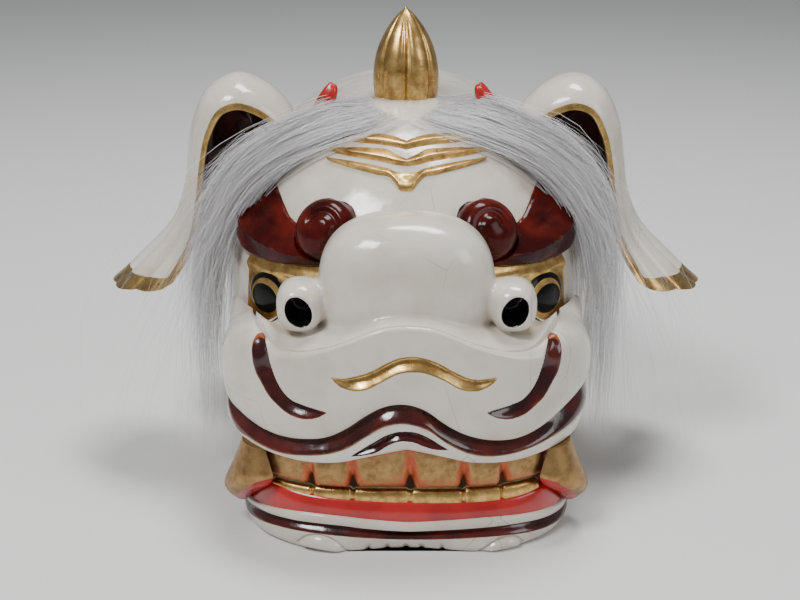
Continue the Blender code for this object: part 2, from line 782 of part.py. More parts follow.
def relief(sections, columns, relief_at, across, rows):
    """A raised field on the skull between a table's lower and upper edges."""
    low_azimuth = min(s[0] for s in sections)
    high_azimuth = max(s[0] for s in sections)
    outer = []
    inner = []
    for i in range(rows):
        azimuth = low_azimuth + (high_azimuth - low_azimuth) * i / (rows - 1)
        lower = column(sections, columns, "lower", "azimuth", azimuth)
        upper = column(sections, columns, "upper", "azimuth", azimuth)
        for j in range(across + 1):
            share = j / across
            elevation = lower + (upper - lower) * share
            outer.append(skull_point(azimuth, elevation, SURFACE_GAP + relief_at(azimuth, share)))
            inner.append(skull_point(azimuth, elevation, SURFACE_GAP))
    return outer, inner, grid_faces(rows, across + 1)


def mirrored(name, outer, inner, faces, material):
    """A left and a right piece from points made on the right."""
    for side, word in ((-1, "left"), (1, "right")):
        thicken(f"{name}_{word}", [(side * x, y, z) for x, y, z in outer],
                [(side * x, y, z) for x, y, z in inner], faces, material)


def make_brows():
    def height(azimuth, share):
        crown = column(BROW_SECTIONS, BROW_COLUMNS, "relief", "azimuth", azimuth)
        return BROW_RELIEF * crown * (0.25 + 0.75 * math.sin(math.pi * share) ** 0.6)

    outer, inner, faces = relief(BROW_SECTIONS, BROW_COLUMNS, height, across=5, rows=15)
    mirrored("brow", outer, inner, faces, "maroon_lacquer")


def make_sockets():
    outer, inner, faces = relief(SOCKET_SECTIONS, SOCKET_COLUMNS,
                                 lambda azimuth, share: SOCKET_RELIEF, across=3, rows=10)
    mirrored("socket", outer, inner, faces, "gold_leaf")


def make_pupils():
    """A low black dome set on the gold."""
    rings = 3
    steps = 12
    outer = []
    inner = []
    base = SURFACE_GAP * 2 + SOCKET_RELIEF
    reach = math.degrees(PUPIL_RADIUS / SKULL_HALF_WIDTH)
    for i in range(rings + 1):
        share = i / rings
        for j in range(steps):
            angle = 2 * math.pi * j / steps
            azimuth = EYE_AZIMUTH + reach * share * math.cos(angle)
            elevation = EYE_ELEVATION + 1.15 * reach * share * math.sin(angle)
            lift = PUPIL_RELIEF * math.sqrt(max(1 - share * share * 0.9, 0.0))
            outer.append(skull_point(azimuth, elevation, base + lift))
            inner.append(skull_point(azimuth, elevation, base))
    faces = grid_faces(rings + 1, steps, closed=True)
    mirrored("pupil", outer, inner, faces, "black_lacquer")


def make_forehead_lines():
    for number, sections in enumerate(FOREHEAD_LINES, 1):
        outer = []
        inner = []
        limit = sections[-1][0]
        rows = 15
        for i in range(rows):
            azimuth = limit * (2 * i / (rows - 1) - 1)
            middle = column(sections, LINE_COLUMNS, "middle", "azimuth", abs(azimuth))
            half = column(sections, LINE_COLUMNS, "half_height", "azimuth", abs(azimuth))
            for share in (-1.0, 0.0, 1.0):
                lift = SURFACE_GAP + LINE_RELIEF * (1 - 0.6 * abs(share))
                outer.append(skull_point(azimuth, middle + half * share, lift))
                inner.append(skull_point(azimuth, middle + half * share, SURFACE_GAP))
        thicken(f"forehead_line_{number}", outer, inner, grid_faces(rows, 3), "gold_leaf")


# Horn

def make_horn():
    steps = 20
    levels = 8
    rings = []
    for share in (0.15, 0.45, 0.75):
        foot = [(HORN_HALF_WIDTH * share * math.sin(2 * math.pi * i / steps),
                 depth(HORN_DEPTH) - HORN_HALF_WIDTH * share * math.cos(2 * math.pi * i / steps))
                for i in range(steps)]
        rings.append([(x, y, skull_height(x, y, SURFACE_GAP)) for x, y in foot])
    for k in range(levels):
        share = k / (levels - 1)
        radius = HORN_HALF_WIDTH * column(HORN_SECTIONS, HORN_COLUMNS, "radius", "level", share)
        ring = []
        for i in range(steps):
            angle = 2 * math.pi * i / steps
            rib = HORN_RIB * math.cos(10 * angle) * min(radius / HORN_HALF_WIDTH, 1.0)
            x = (radius + rib) * math.sin(angle)
            y = depth(HORN_DEPTH) - (radius + rib) * math.cos(angle)
            base = skull_height(x, y, SURFACE_GAP)
            ring.append((x, y, base + (HORN_TOP - base) * share))
        rings.append(ring)
    return loft("horn", rings, "gold_leaf")


# Ears

def ear_points(wall):
    """The ear's outer face, or its inner face one wall inside, as a grid."""
    rows = 17
    across = 10
    points = []
    for i in range(rows):
        share = i / (rows - 1)
        reach = EAR_REACH * along(EAR_SECTIONS, EAR_COLUMNS, "reach", share)
        level = EAR_TOP * along(EAR_SECTIONS, EAR_COLUMNS, "level", share)
        lean = math.radians(along(EAR_SECTIONS, EAR_COLUMNS, "lean", share))
        half = EAR_HALF_WIDTH * along(EAR_SECTIONS, EAR_COLUMNS, "width", share)
        curl = EAR_CURL * along(EAR_SECTIONS, EAR_COLUMNS, "curl", share)
        open_x = -math.sin(lean)
        open_z = -math.cos(lean)
        for j in range(across + 1):
            angle = math.pi * (j / across - 0.5)
            side = (half - wall * 0.9) * math.sin(angle)
            sink = wall + (curl - wall) * (1 - math.cos(angle))
            x = reach + open_x * sink
            z = level + open_z * sink
            y = depth(EAR_DEPTH) + side
            scallop = EAR_SCALLOP * abs(math.cos(angle * 5)) * smooth(0.9, 1.0, share)
            z += curl * 0.35 * smooth(0.75, 1.0, share) * (1 - math.cos(angle)) - scallop
            if i == 0:
                z = skull_height(x, y, SURFACE_GAP)
            points.append((x, y, z))
    return points, rows, across + 1


def make_ears():
    outer, rows, columns = ear_points(0.0)
    inner, _, _ = ear_points(EAR_WALL)
    mirrored("ear", outer, inner, grid_faces(rows, columns), "white_lacquer")


def make_ear_tabs():
    """A small red piece that stands between the ear's root and the horn."""
    steps = 10
    for side, word in ((-1, "left"), (1, "right")):
        rings = []
        foot_x = EAR_REACH * EAR_SECTIONS[0][0] - EAR_WALL - 2 * TAB_THICK
        for share in (0.0, 0.35, 0.7, 0.92, 1.0):
            scale = math.sqrt(max(1 - share ** 3, 0.04))
            ring = []
            for i in range(steps):
                angle = 2 * math.pi * i / steps
                x = foot_x + TAB_THICK * scale * math.cos(angle) / 2 + TAB_HEIGHT * 0.35 * share
                y = depth(EAR_DEPTH) + TAB_HALF_WIDTH * scale * math.sin(angle)
                z = skull_height(x, y, SURFACE_GAP) if share == 0 else 0.0
                z = z or skull_height(foot_x, y, SURFACE_GAP) + TAB_HEIGHT * share
                ring.append((side * x, y, z))
            rings.append(ring)
        loft(f"ear_tab_{word}", rings, "vermilion_lacquer")


# Hair

def make_hair():
    """Locks side by side on one backing, each ending in its own tip."""
    rows = 12
    steps = 3
    split_row = 7
    outer = []
    inner = []
    faces = []
    for lock in range(HAIR_LOCKS):
        base = len(outer)
        for i in range(rows):
            share = i / (rows - 1)
            cell = [along(HAIR_SECTIONS, HAIR_COLUMNS, key, share) for key in HAIR_COLUMNS]
            narrow = 1 - 0.9 * smooth(split_row / (rows - 1), 1.0, share)
            for j in range(steps + 1):
                local = j / steps
                centred = 0.5 + (local - 0.5) * narrow
                across = (lock + centred) / HAIR_LOCKS
                azimuth = cell[0] + (cell[3] - cell[0]) * across
                elevation = cell[1] + (cell[4] - cell[1]) * across
                lift = HAIR_LIFT * (cell[2] + (cell[5] - cell[2]) * across)
                tip = HAIR_TIP * (0.5 + 0.5 * math.cos(lock * 2.1)) * smooth(0.6, 1.0, share)
                ridge = HAIR_RIDGE * math.sin(math.pi * local)
                x, y, z = skull_point(azimuth, elevation, lift + ridge * narrow)
                outer.append((x, y, z + tip))
                x, y, z = skull_point(azimuth, elevation, lift - HAIR_THICK * (0.3 + 0.7 * narrow))
                inner.append((x, y, z + tip))
        faces += [tuple(base + i for i in f) for f in grid_faces(rows, steps + 1)]
    mirrored("hair", outer, inner, faces, "pale_hair")


# Lower jaw

def jaw_line(turn):
    return plan(turn, *JAW_PLAN)


def jaw_path():
    """Places along the jaw's wall with inward direction and the wall's top."""
    path = []
    for turn in even_turns(27, 90.0, JAW_PLAN):
        x, y, nx, ny = jaw_line(turn)
        path.append((x, y, nx, ny, JAW_HEIGHT))
    for row in JAW_SIDE_SECTIONS:
        y = depth(row[0] * JAW_REAR)
        top = JAW_HEIGHT + (LUG_HEIGHT - JAW_HEIGHT) * row[1]
        path.append((JAW_HALF_WIDTH, y, -1.0, 0.0, top))
        path.insert(0, (-JAW_HALF_WIDTH, y, 1.0, 0.0, top))
    return path


def make_jaw():
    path = jaw_path()
    profile_size = 7
    points = []
    for x, y, nx, ny, top in path:
        profile = (
            (CHIN_ROUND, 0.0),
            (CHIN_ROUND * 0.3, CHIN_ROUND * 0.3),
            (0.0, CHIN_ROUND),
            (0.0, (top + CHIN_ROUND) / 2),
            (0.0, top),
            (JAW_WALL, top),
            (JAW_WALL, JAW_FLOOR),
        )
        points += [(x + nx * push, y + ny * push, z) for push, z in profile]
    faces = grid_faces(len(path), profile_size)
    last = (len(path) - 1) * profile_size
    faces.append(tuple(i * profile_size for i in range(len(path))))
    faces.append(tuple(i * profile_size + profile_size - 1 for i in reversed(range(len(path)))))
    faces.append(tuple(range(profile_size)) + tuple(last + i for i in reversed(range(profile_size))))
    jaw = add_object("jaw", points, faces, "white_lacquer")
    cut(jaw, rod_cutter("jaw_bore"))
    return jaw


def jaw_band(name, limit, low, top, inset, lean, thick, material, count, bump=None):
    """A band that stands on the jaw's wall."""
    rings = []
    for turn in even_turns(count, limit, JAW_PLAN):
        x, y, nx, ny = jaw_line(turn)
        crest = top + (bump(x) if bump else 0.0)
        profile = ((inset, low), (inset + lean, crest), (inset + lean + thick, crest),
                   (inset + lean + thick, low))
        rings.append([(x + nx * push, y + ny * push, z) for push, z in profile])
    return loft(name, rings, material)


def tooth_bump(x):
    """The notches between teeth."""
    pitch = UPPER_TEETH_HALF_WIDTH / 2.6
    return -TEETH_NOTCH * abs(math.cos(math.pi * x / pitch)) ** 6


def make_gum():
    return jaw_band("gum", 86.0, JAW_HEIGHT + CLEAR, GUM_TOP, GUM_INSET * 0.3, GUM_INSET * 0.7,
                    JAW_WALL - GUM_INSET - 0.0005, "vermilion_lacquer", 27)


def make_lower_teeth():
    return jaw_band("lower_teeth", 44.0, GUM_TOP + CLEAR, LOWER_TEETH_TOP, GUM_INSET, 0.0008,
                    TEETH_THICK * 0.8, "gold_leaf", 41, tooth_bump)


def make_upper_teeth():
    rings = []
    count = 41
    limit = math.degrees(math.asin((UPPER_TEETH_HALF_WIDTH / MUZZLE_HALF_WIDTH) ** (MUZZLE_SQUARE / 2)))
    for turn in even_turns(count, limit, MUZZLE_PLAN):
        x, y, normal, _ = muzzle_line(turn)
        top = LIP_HEIGHT * muzzle_value("low", x) - CLEAR
        low = UPPER_TEETH_LOW - tooth_bump(x)
        face = UPPER_TEETH_INSET - LIP_INSET * 0.4
        profile = ((face, top), (face + 0.0008, low), (face + TEETH_THICK * 0.55, low),
                   (face + TEETH_THICK * 0.55, top))
        rings.append([(x + normal[0] * push, y + normal[1] * push, z) for push, z in profile])
    return loft("upper_teeth", rings, "gold_leaf")


def make_tusks():
    rows = 9
    steps = 7
    for side, word in ((-1, "left"), (1, "right")):
        rings = []
        for i in range(rows):
            share = 1 - i / (rows - 1)
            values = [column(TUSK_SECTIONS, TUSK_COLUMNS, key, "level", share)
                      for key in ("start", "end", "bulge")]
            inner = []
            outer = []
            for j in range(steps + 1):
                turn = values[0] + (values[1] - values[0]) * j / steps
                x, y, nx, ny = jaw_line(turn)
                high = LIP_HEIGHT * muzzle_value("low", x) - CLEAR
                z = TUSK_LOW + (high - TUSK_LOW) * share
                bulge = TUSK_BULGE * values[2] * math.sin(math.pi * j / steps) ** 0.7
                inner.append((side * (x - nx * SURFACE_GAP), y - ny * SURFACE_GAP, z))
                outer.append((side * (x - nx * (SURFACE_GAP + bulge)),
                              y - ny * (SURFACE_GAP + bulge), z))
            rings.append(inner + list(reversed(outer[1:-1])))
        loft(f"tusk_{word}", rings, "gold_leaf")


def main():
    clear_scene()
    make_skull()
    make_hinge_rod()
    make_muzzle()
    make_upper_lip()
    make_nose()
    make_nostril(-1)
    make_nostril(1)
    make_brows()
    make_sockets()
    make_pupils()
    make_forehead_lines()
    make_horn()
    make_ears()
    make_ear_tabs()
    make_hair()
    make_jaw()
    make_gum()
    make_lower_teeth()
    make_upper_teeth()
    make_tusks()


main()
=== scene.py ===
"""Looks of the lion dance head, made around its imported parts.

Metres, +Z up. The face looks along -Y and +X is to a viewer's right.
Tables read from the photo are in centimetres, with depth counted from the lip's front.
"""

import math

import bpy
import numpy as np
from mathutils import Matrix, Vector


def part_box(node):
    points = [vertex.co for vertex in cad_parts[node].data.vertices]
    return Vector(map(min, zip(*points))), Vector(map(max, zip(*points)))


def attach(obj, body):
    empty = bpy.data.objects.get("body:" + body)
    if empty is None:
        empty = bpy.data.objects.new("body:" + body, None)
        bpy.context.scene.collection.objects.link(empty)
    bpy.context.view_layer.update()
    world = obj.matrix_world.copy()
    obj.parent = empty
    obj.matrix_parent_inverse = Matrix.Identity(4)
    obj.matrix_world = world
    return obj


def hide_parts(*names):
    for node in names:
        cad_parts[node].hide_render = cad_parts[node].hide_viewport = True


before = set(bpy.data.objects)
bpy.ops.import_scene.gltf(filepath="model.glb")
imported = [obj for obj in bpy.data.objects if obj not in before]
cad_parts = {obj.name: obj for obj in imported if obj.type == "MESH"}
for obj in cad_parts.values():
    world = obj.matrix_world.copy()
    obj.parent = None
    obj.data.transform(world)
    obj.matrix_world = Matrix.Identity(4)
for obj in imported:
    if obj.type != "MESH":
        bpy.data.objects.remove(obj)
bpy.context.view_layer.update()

CM = 0.01
SIDES = ((-1, "left"), (1, "right"))

# Sizes that the pieces share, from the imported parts
LIP_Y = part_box("muzzle")[0].y
BACK_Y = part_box("skull")[1].y
MUZZLE_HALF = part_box("muzzle")[1].x
MUZZLE_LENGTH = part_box("muzzle")[1].y - LIP_Y
MUZZLE_SQUARE = 3.0
WALL = 0.007
SEAT = 0.0006

# Skull
SKULL_HALF = 0.088
SKULL_REACH = 0.088
SKULL_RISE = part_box("skull")[1].z - 0.090
SKULL_Y = LIP_Y + 0.125
SKULL_LEVEL = 0.090
SKULL_LOW = 0.072
SIDE_LOW = 0.047
SIDE_FLARE = 0.004
CHEEK_TURN = 55.0

# Muzzle
MUZZLE_TOP = 0.1055
LIP_SPLIT = 0.0710
LIP_LOW = 0.0498
SHELF_SLOPE = 0.25
SHELF_LENGTH = 0.013
CHEEK_RISE = 0.006
CHEEK_FALL = 0.0175
CHEEK_SWELL = 0.0040
LIP_CHANNEL_DEPTH = 0.0046
FACE_COLUMNS = 461
MUZZLE_PLAN = (MUZZLE_HALF, MUZZLE_LENGTH, MUZZLE_SQUARE, LIP_Y)

# Jaw
JAW_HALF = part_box("jaw")[1].x
JAW_PLAN = (JAW_HALF, 0.080, 3.5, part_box("jaw")[0].y)
JAW_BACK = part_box("jaw")[1].y
JAW_WALL = 0.009
JAW_FLOOR = 0.006
PIN_PROUD = 0.0016
PIN_BEVEL = 0.0006

# Muzzle sections: x as a share of the half width, top and low as shares of the heights at
# the middle, and the top edge's radius as a multiple of the wall
MUZZLE_SECTIONS = (
    (0.00, 1.000, 1.000, 0.24),
    (0.13, 0.988, 0.955, 0.24),
    (0.24, 0.955, 0.915, 0.24),
    (0.34, 0.920, 0.880, 0.26),
    (0.45, 0.890, 0.865, 0.32),
    (0.56, 0.868, 0.862, 0.46),
    (0.66, 0.866, 0.872, 0.74),
    (0.75, 0.890, 0.885, 1.30),
    (0.84, 0.905, 0.900, 1.70),
    (0.92, 0.890, 0.925, 1.90),
    (0.97, 0.868, 0.950, 1.90),
    (1.00, 0.855, 0.975, 1.80),
)

# Lower edge of the muzzle's white face: x and height
SPLIT_LINE = (
    (-8.10, 6.95), (-7.95, 6.30), (-7.75, 5.95), (-7.14, 5.66), (-6.40, 5.40), (-5.53, 5.28),
    (-4.38, 5.32), (-3.27, 5.56), (-2.47, 6.01), (-1.67, 6.60), (-1.01, 6.96), (-0.27, 7.10),
    (0.19, 7.05), (0.90, 6.74), (1.47, 6.29), (2.20, 5.82), (3.02, 5.49), (3.90, 5.32),
    (4.73, 5.31), (5.54, 5.50), (6.28, 5.84), (6.94, 6.28), (7.60, 6.80), (8.10, 7.25),
)

# Lower edge of the maroon channel above the lip: x and height
CHANNEL_LOW = (
    (-8.10, 5.60), (-7.42, 4.74), (-6.72, 4.66), (-6.10, 4.57), (-5.20, 4.52), (-4.40, 4.60),
    (-3.30, 4.80), (-2.48, 5.12), (-1.68, 5.67), (-0.95, 6.12), (-0.27, 6.27), (0.30, 6.20),
    (0.89, 5.96), (1.70, 5.36), (2.53, 4.90), (3.30, 4.70), (4.14, 4.66), (5.10, 4.76),
    (5.99, 4.94), (7.00, 5.22), (8.10, 5.75),
)

# The tables' heights are as seen on the upright face, so a place behind it is read higher
VIEW_SLOPE = 0.30

# Channels cut in the face: an upper or inner edge and a lower or outer edge, x and height
CHEEK_CHANNEL_INNER = (
    (-5.97, 9.56), (-5.82, 9.16), (-5.63, 8.45), (-5.45, 7.91), (-5.18, 7.43), (-4.85, 7.11),
    (-4.36, 6.94), (-3.71, 6.79), (-3.29, 6.69),
)
CHEEK_CHANNEL_OUTER = (
    (-6.05, 9.68), (-6.22, 9.66), (-6.38, 9.54), (-6.47, 9.30), (-6.44, 8.59), (-6.33, 8.04),
    (-6.07, 7.54), (-5.77, 7.04), (-5.34, 6.66), (-4.87, 6.38), (-4.38, 6.29), (-3.78, 6.40),
    (-3.29, 6.69),
)
GOLD_CHANNEL_UPPER = (
    (-3.17, 8.32), (-2.70, 8.26), (-2.19, 8.37), (-1.41, 8.65), (-0.87, 8.97), (-0.26, 9.23),
    (0.30, 9.28), (1.16, 9.05), (2.02, 8.55), (2.50, 8.30), (2.89, 8.21), (3.82, 8.27),
)
GOLD_CHANNEL_LOWER = (
    (-3.17, 8.32), (-2.73, 7.90), (-2.20, 7.74), (-1.66, 7.80), (-1.13, 8.08), (-0.27, 8.53),
    (0.59, 8.57), (1.45, 8.25), (2.32, 7.76), (2.98, 7.71), (3.47, 7.92), (3.82, 8.27),
)
LIP_CHANNEL_UPPER = (
    (-2.34, 4.76), (-1.98, 5.03), (-1.39, 5.43), (-0.81, 5.78), (-0.19, 5.94), (0.40, 5.88),
    (0.98, 5.61), (1.42, 5.30), (1.77, 5.07),
)
LIP_CHANNEL_LOWER = (
    (-2.34, 4.76), (-1.80, 4.82), (-1.23, 4.98), (-0.80, 5.28), (-0.40, 5.46), (0.20, 5.46),
    (0.70, 5.26), (1.10, 5.12), (1.77, 5.07),
)
CHEEK_CREASE = ((-5.97, 9.56), (-6.16, 9.95), (-6.32, 10.25), (-6.25, 10.50), (-6.05, 10.75))

# Nose and nostril lobes: centre, half sizes and squareness of each rounded block
NOSE_BULB = ((0.0, LIP_Y + 0.0325, 0.1120), (0.0374, 0.0240, 0.0318), 2.6)
LOBE_X = 0.0447
LOBE_Y = LIP_Y + 0.0240
LOBE_Z = 0.1070
BORE_HALF = 0.0051
BORE_RISE = 0.0061
BORE_LEAN = 0.16
BORE_END = LIP_Y + 0.0325
BORE_MEAN = 0.0058
NOSE_BLEND = 0.0026
NOSE_STEP = 0.00075
NOSE_SPREAD = 0.0045
LOBE_FORM = ((0.0099, 0.0125, 0.0110), 2.5)

# Brow outline on the skull in degrees: azimuth, lower edge, upper edge, ridge, height share
BROW_SECTIONS = (
    (16.2, 24.0, 30.8, 25.0, 0.30),
    (18.0, 20.6, 34.2, 22.4, 0.44),
    (20.5, 18.6, 36.0, 21.2, 0.54),
    (25.0, 16.8, 36.6, 20.0, 0.62),
    (30.0, 15.9, 36.8, 19.0, 0.70),
    (34.5, 15.4, 33.6, 18.7, 0.76),
    (37.5, 15.1, 28.4, 18.8, 0.80),
    (41.0, 14.9, 28.8, 19.1, 0.84),
    (47.0, 14.6, 32.2, 19.9, 0.92),
    (53.0, 14.6, 35.4, 21.4, 0.98),
    (59.0, 15.4, 37.6, 23.6, 1.00),
    (65.0, 18.0, 38.4, 26.8, 0.80),
    (69.5, 23.0, 34.5, 28.8, 0.30),
)
BROW_RELIEF = 0.0088
CURL_AZIMUTH = 25.8
CURL_ELEVATION = 27.4
CURL_RADIUS = 9.2
CURL_RELIEF = 0.0112

# Eye socket outline on the skull in degrees: azimuth, lower edge, upper edge
SOCKET_SECTIONS = (
    (24.5, 11.0, 17.0),
    (31.0, 5.0, 16.0),
    (37.0, -2.0, 15.6),
    (44.0, -6.0, 15.4),
    (49.0, -6.5, 15.3),
    (55.0, -6.0, 15.0),
)
SOCKET_RELIEF = 0.0016
EYE_AZIMUTH = 44.5
EYE_WIDE = 1.30
EYE_TALL = 1.12
EYE_ELEVATION = 4.6
EYE_RADIUS = 0.0096

# Forehead lines: azimuth, middle height and half height in degrees
FOREHEAD_LINES = (
    ((0.0, 57.3, 1.7), (5.0, 58.4, 2.0), (12.0, 59.3, 2.2), (24.0, 59.4, 2.1),
     (36.0, 59.0, 1.6), (43.0, 58.8, 0.6)),
    ((0.0, 50.6, 1.3), (5.0, 51.7, 1.9), (9.0, 52.8, 2.3), (18.0, 53.5, 2.1),
     (32.0, 53.3, 1.4), (41.0, 52.9, 0.4)),
    ((0.0, 43.8, 2.9), (2.5, 44.1, 2.8), (4.6, 45.4, 1.9), (6.4, 46.5, 1.5), (12.0, 47.5, 1.5),
     (25.0, 48.9, 1.2), (38.0, 49.6, 0.4)),
)
LINE_RELIEF = 0.0019

# Horn
HORN_HALF = 0.0155
HORN_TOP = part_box("horn")[1].z
HORN_Y = LIP_Y + 0.128
# Horn outline: share of the height and share of the radius
HORN_SECTIONS = (
    (0.00, 0.96), (0.15, 1.00), (0.35, 0.98), (0.55, 0.86), (0.72, 0.66), (0.86, 0.42),
    (0.95, 0.22), (1.00, 0.07),
)
# Grooves and ribs round the horn: middle and width in degrees from its front or back line,
# and height as a share of its radius
HORN_FLUTES = (
    (49.0, 4.5, -0.085),
    (9.0, 4.0, -0.045),
    (4.0, 2.6, 0.030),
    (0.0, 1.6, -0.030),
    (28.0, 11.0, 0.020),
)

# Ear sections from the root over the arch to the tip: reach and level as shares of the tip's
# reach and the arch's height, lean in degrees, width and curl as shares
EAR_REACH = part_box("ear_right")[1].x
EAR_TOP = 0.188
EAR_Y = LIP_Y + 0.115
EAR_HALF = 0.034
EAR_CURL = 0.030
EAR_WALL = 0.0042
EAR_SKIRT = 0.020
EAR_SECTIONS = (
    (0.335, 0.860, -28.0, 0.45, 0.26),
    (0.385, 0.925, -24.0, 0.50, 0.34),
    (0.460, 0.978, -8.0, 0.56, 0.42),
    (0.555, 1.000, 12.0, 0.60, 0.46),
    (0.645, 0.965, 40.0, 0.61, 0.42),
    (0.700, 0.885, 66.0, 0.60, 0.38),
    (0.722, 0.795, 80.0, 0.62, 0.34),
    (0.740, 0.715, 84.0, 0.67, 0.36),
    (0.785, 0.630, 84.0, 0.77, 0.50),
    (0.875, 0.555, 86.0, 0.90, 0.76),
    (1.000, 0.480, 90.0, 1.00, 1.14),
)

# Hair from the parting to its ends: azimuth, elevation and lift share of its front edge,
# then the same of its rear edge
HAIR_LIFT = 0.024
HAIR_SEED = 11
HAIR_REACH = 0.145
HAIR_LOW = 0.008
HAIR_LEAN = {"left": 0.006, "right": 0.001}
HAIR_SECTIONS = (
    (14.0, 72.0, 0.10, 66.0, 80.0, 0.12),
    (30.0, 62.5, 0.20, 60.0, 71.0, 0.26),
    (46.0, 52.0, 0.30, 57.0, 62.0, 0.48),
    (55.0, 41.0, 0.50, 58.0, 51.0, 0.76),
    (60.0, 28.0, 0.62, 62.0, 41.0, 0.98),
    (62.5, 15.0, 0.60, 66.0, 29.0, 1.00),
    (61.5, 1.0, 0.56, 67.0, 14.0, 0.88),
    (62.0, -16.0, 0.54, 67.5, -6.0, 0.76),
    (63.0, -42.0, 0.52, 67.5, -44.0, 0.70),
)

# Jaw lines by x: top of the chin, top of the maroon channel, top of the white line, gum's top
JAW_LINES = (
    (-7.60, 0.20, 0.75, 1.00, 2.60),
    (-6.80, 0.58, 1.18, 1.42, 2.66),
    (-5.80, 0.81, 1.33, 1.66, 2.66),
    (-4.60, 0.87, 1.38, 1.79, 2.56),
    (-2.90, 0.82, 1.35, 1.76, 2.44),
    (-1.50, 0.74, 1.20, 1.62, 2.36),
    (0.00, 0.69, 1.10, 1.50, 2.31),
    (1.80, 0.70, 1.16, 1.58, 2.28),
    (3.60, 0.73, 1.22, 1.65, 2.29),
    (5.20, 0.64, 1.19, 1.56, 2.38),
    (6.40, 0.48, 1.02, 1.38, 2.52),
    (7.60, 0.18, 0.70, 1.00, 2.60),
)
# Top of the jaw's sides: depth behind the lip and height
JAW_SIDES = (
    (0.093, 0.0195), (0.108, 0.0294), (0.120, 0.0386), (0.130, 0.0561), (0.1345, 0.0605),
    (0.145, 0.0605), (0.150, 0.0550),
)
# Notches between the teeth, by x
UPPER_NOTCHES = (-6.55, -4.19, -2.35, 0.17, 2.48, 4.23, 6.35)
LOWER_NOTCHES = (-6.20, -4.15, -2.35, 0.15, 2.48, 4.20, 6.10)

# Chin carving: x and height of the two swirls, and the flutes' places
CHIN_SWIRLS = (
    ((-4.75, 0.30), (-4.25, 0.70), (-3.76, 0.78), (-3.09, 0.56), (-2.57, 0.06)),
    ((3.17, 0.06), (3.82, 0.48), (4.45, 0.64), (4.94, 0.43), (5.10, 0.20)),
)
CHIN_FLUTES = (-1.58, -0.80, -0.02, 0.63, 1.49)

# Tusks from the foot up: share of the height, plan angle of the front and the rear edge,
# and bulge as a share
TUSK_SECTIONS = (
    (0.00, 63.5, 68.0, 0.34),
    (0.08, 60.5, 69.5, 0.62),
    (0.18, 56.0, 70.5, 0.86),
    (0.29, 51.0, 70.5, 1.02),
    (0.42, 44.5, 69.5, 1.06),
    (0.54, 39.0, 67.8, 0.98),
    (0.64, 37.2, 66.4, 0.86),
    (0.76, 38.4, 64.2, 0.70),
    (0.88, 40.0, 62.2, 0.54),
    (1.00, 42.0, 60.0, 0.40),
)


# Reading tables and drawing lines

def read(rows, column, at):
    """A table's column, read smoothly at values of its first column."""
    xs = np.array([row[0] for row in rows], float)
    ys = np.array([row[column] for row in rows], float)
    slopes = np.gradient(ys, xs)
    at = np.clip(np.asarray(at, float), xs[0], xs[-1])
    i = np.clip(np.searchsorted(xs, at, side="right") - 1, 0, len(xs) - 2)
    span = xs[i + 1] - xs[i]
    t = (at - xs[i]) / span
    start = (1 + 2 * t) * (1 - t) ** 2 * ys[i] + t * (1 - t) ** 2 * span * slopes[i]
    end = t * t * (3 - 2 * t) * ys[i + 1] - t * t * (1 - t) * span * slopes[i + 1]
    return start + end


def by_row(rows, column, share):
    """A table's column read smoothly by row, share 0 at the first row and 1 at the last."""
    numbered = [(i / (len(rows) - 1), row[column]) for i, row in enumerate(rows)]
    return read(numbered, 1, share)


def smooth(low, high, value):
    t = np.clip((np.asarray(value, float) - low) / (high - low), 0.0, 1.0)
    return t * t * (3 - 2 * t)


def curve(points, count=70):
    """Places along a smooth line through points."""
    points = np.array(points, float)
    steps = np.hypot(*np.diff(points, axis=0).T)
    run = np.concatenate(([0.0], np.cumsum(steps)))
    at = np.linspace(0.0, run[-1], count)
    return np.column_stack([read(list(zip(run, points[:, k])), 1, at) for k in range(2)])


def line_distance(places, line):
    best = np.full(len(places), 1.0)
    for start, end in zip(line[:-1], line[1:]):
        run = end - start
        t = np.clip(((places - start) @ run) / max(run @ run, 1e-12), 0, 1)
        gap = places - start - t[:, None] * run
        best = np.minimum(best, (gap * gap).sum(1))
    return np.sqrt(best)


def within(places, ring):
    """Which places lie inside a closed outline."""
    inside = np.zeros(len(places), bool)
    x, y = places.T
    for (x0, y0), (x1, y1) in zip(ring, np.roll(ring, -1, axis=0)):
        if y0 == y1:
            continue
        crosses = (y0 > y) != (y1 > y)
        inside ^= crosses & (x < (x1 - x0) * (y - y0) / (y1 - y0) + x0)
    return inside


def channel(places, upper, lower, steep, deep, width):
    """A carved channel with a steep upper wall and a gentle lower slope.

    Gives the distance in from its edges, negative outside, and the depth of the cut.
    """
    upper = curve(upper)
    lower = curve(lower)
    to_upper = line_distance(places, upper)
    to_lower = line_distance(places, lower)
    inside = within(places, np.vstack((upper, lower[::-1])))
    edge = np.minimum(to_upper, to_lower)
    share = to_upper / np.maximum(to_upper + to_lower, 1e-9)
    form = np.minimum(smooth(0, steep, share), smooth(0, 1 - steep, 1 - share) ** 0.8)
    cut = deep * form * np.clip((to_upper + to_lower) / width, 0, 1)
    return np.where(inside, edge, -edge), np.where(inside, cut, 0.0)


def plan(turn, half_width, length, square, front):
    """A place on a U-shaped plan and its inward direction; turn runs from -90 to 90."""
    angle = np.radians(np.clip(turn, -90.0, 90.0))
    s = np.abs(np.sin(angle)) ** (2 / square)
    c = np.abs(np.cos(angle)) ** (2 / square)
    side = np.sign(angle)
    x = side * half_width * s
    y = front + length * (1 - c)
    nx = -side * (s ** (square - 1)) / half_width
    ny = (c ** (square - 1)) / length
    size = np.hypot(nx, ny)
    return x, y, nx / size, ny / size


def circle(steps):
    """Angles of evenly spaced places round a full turn."""
    return 2 * np.pi * np.arange(steps) / steps


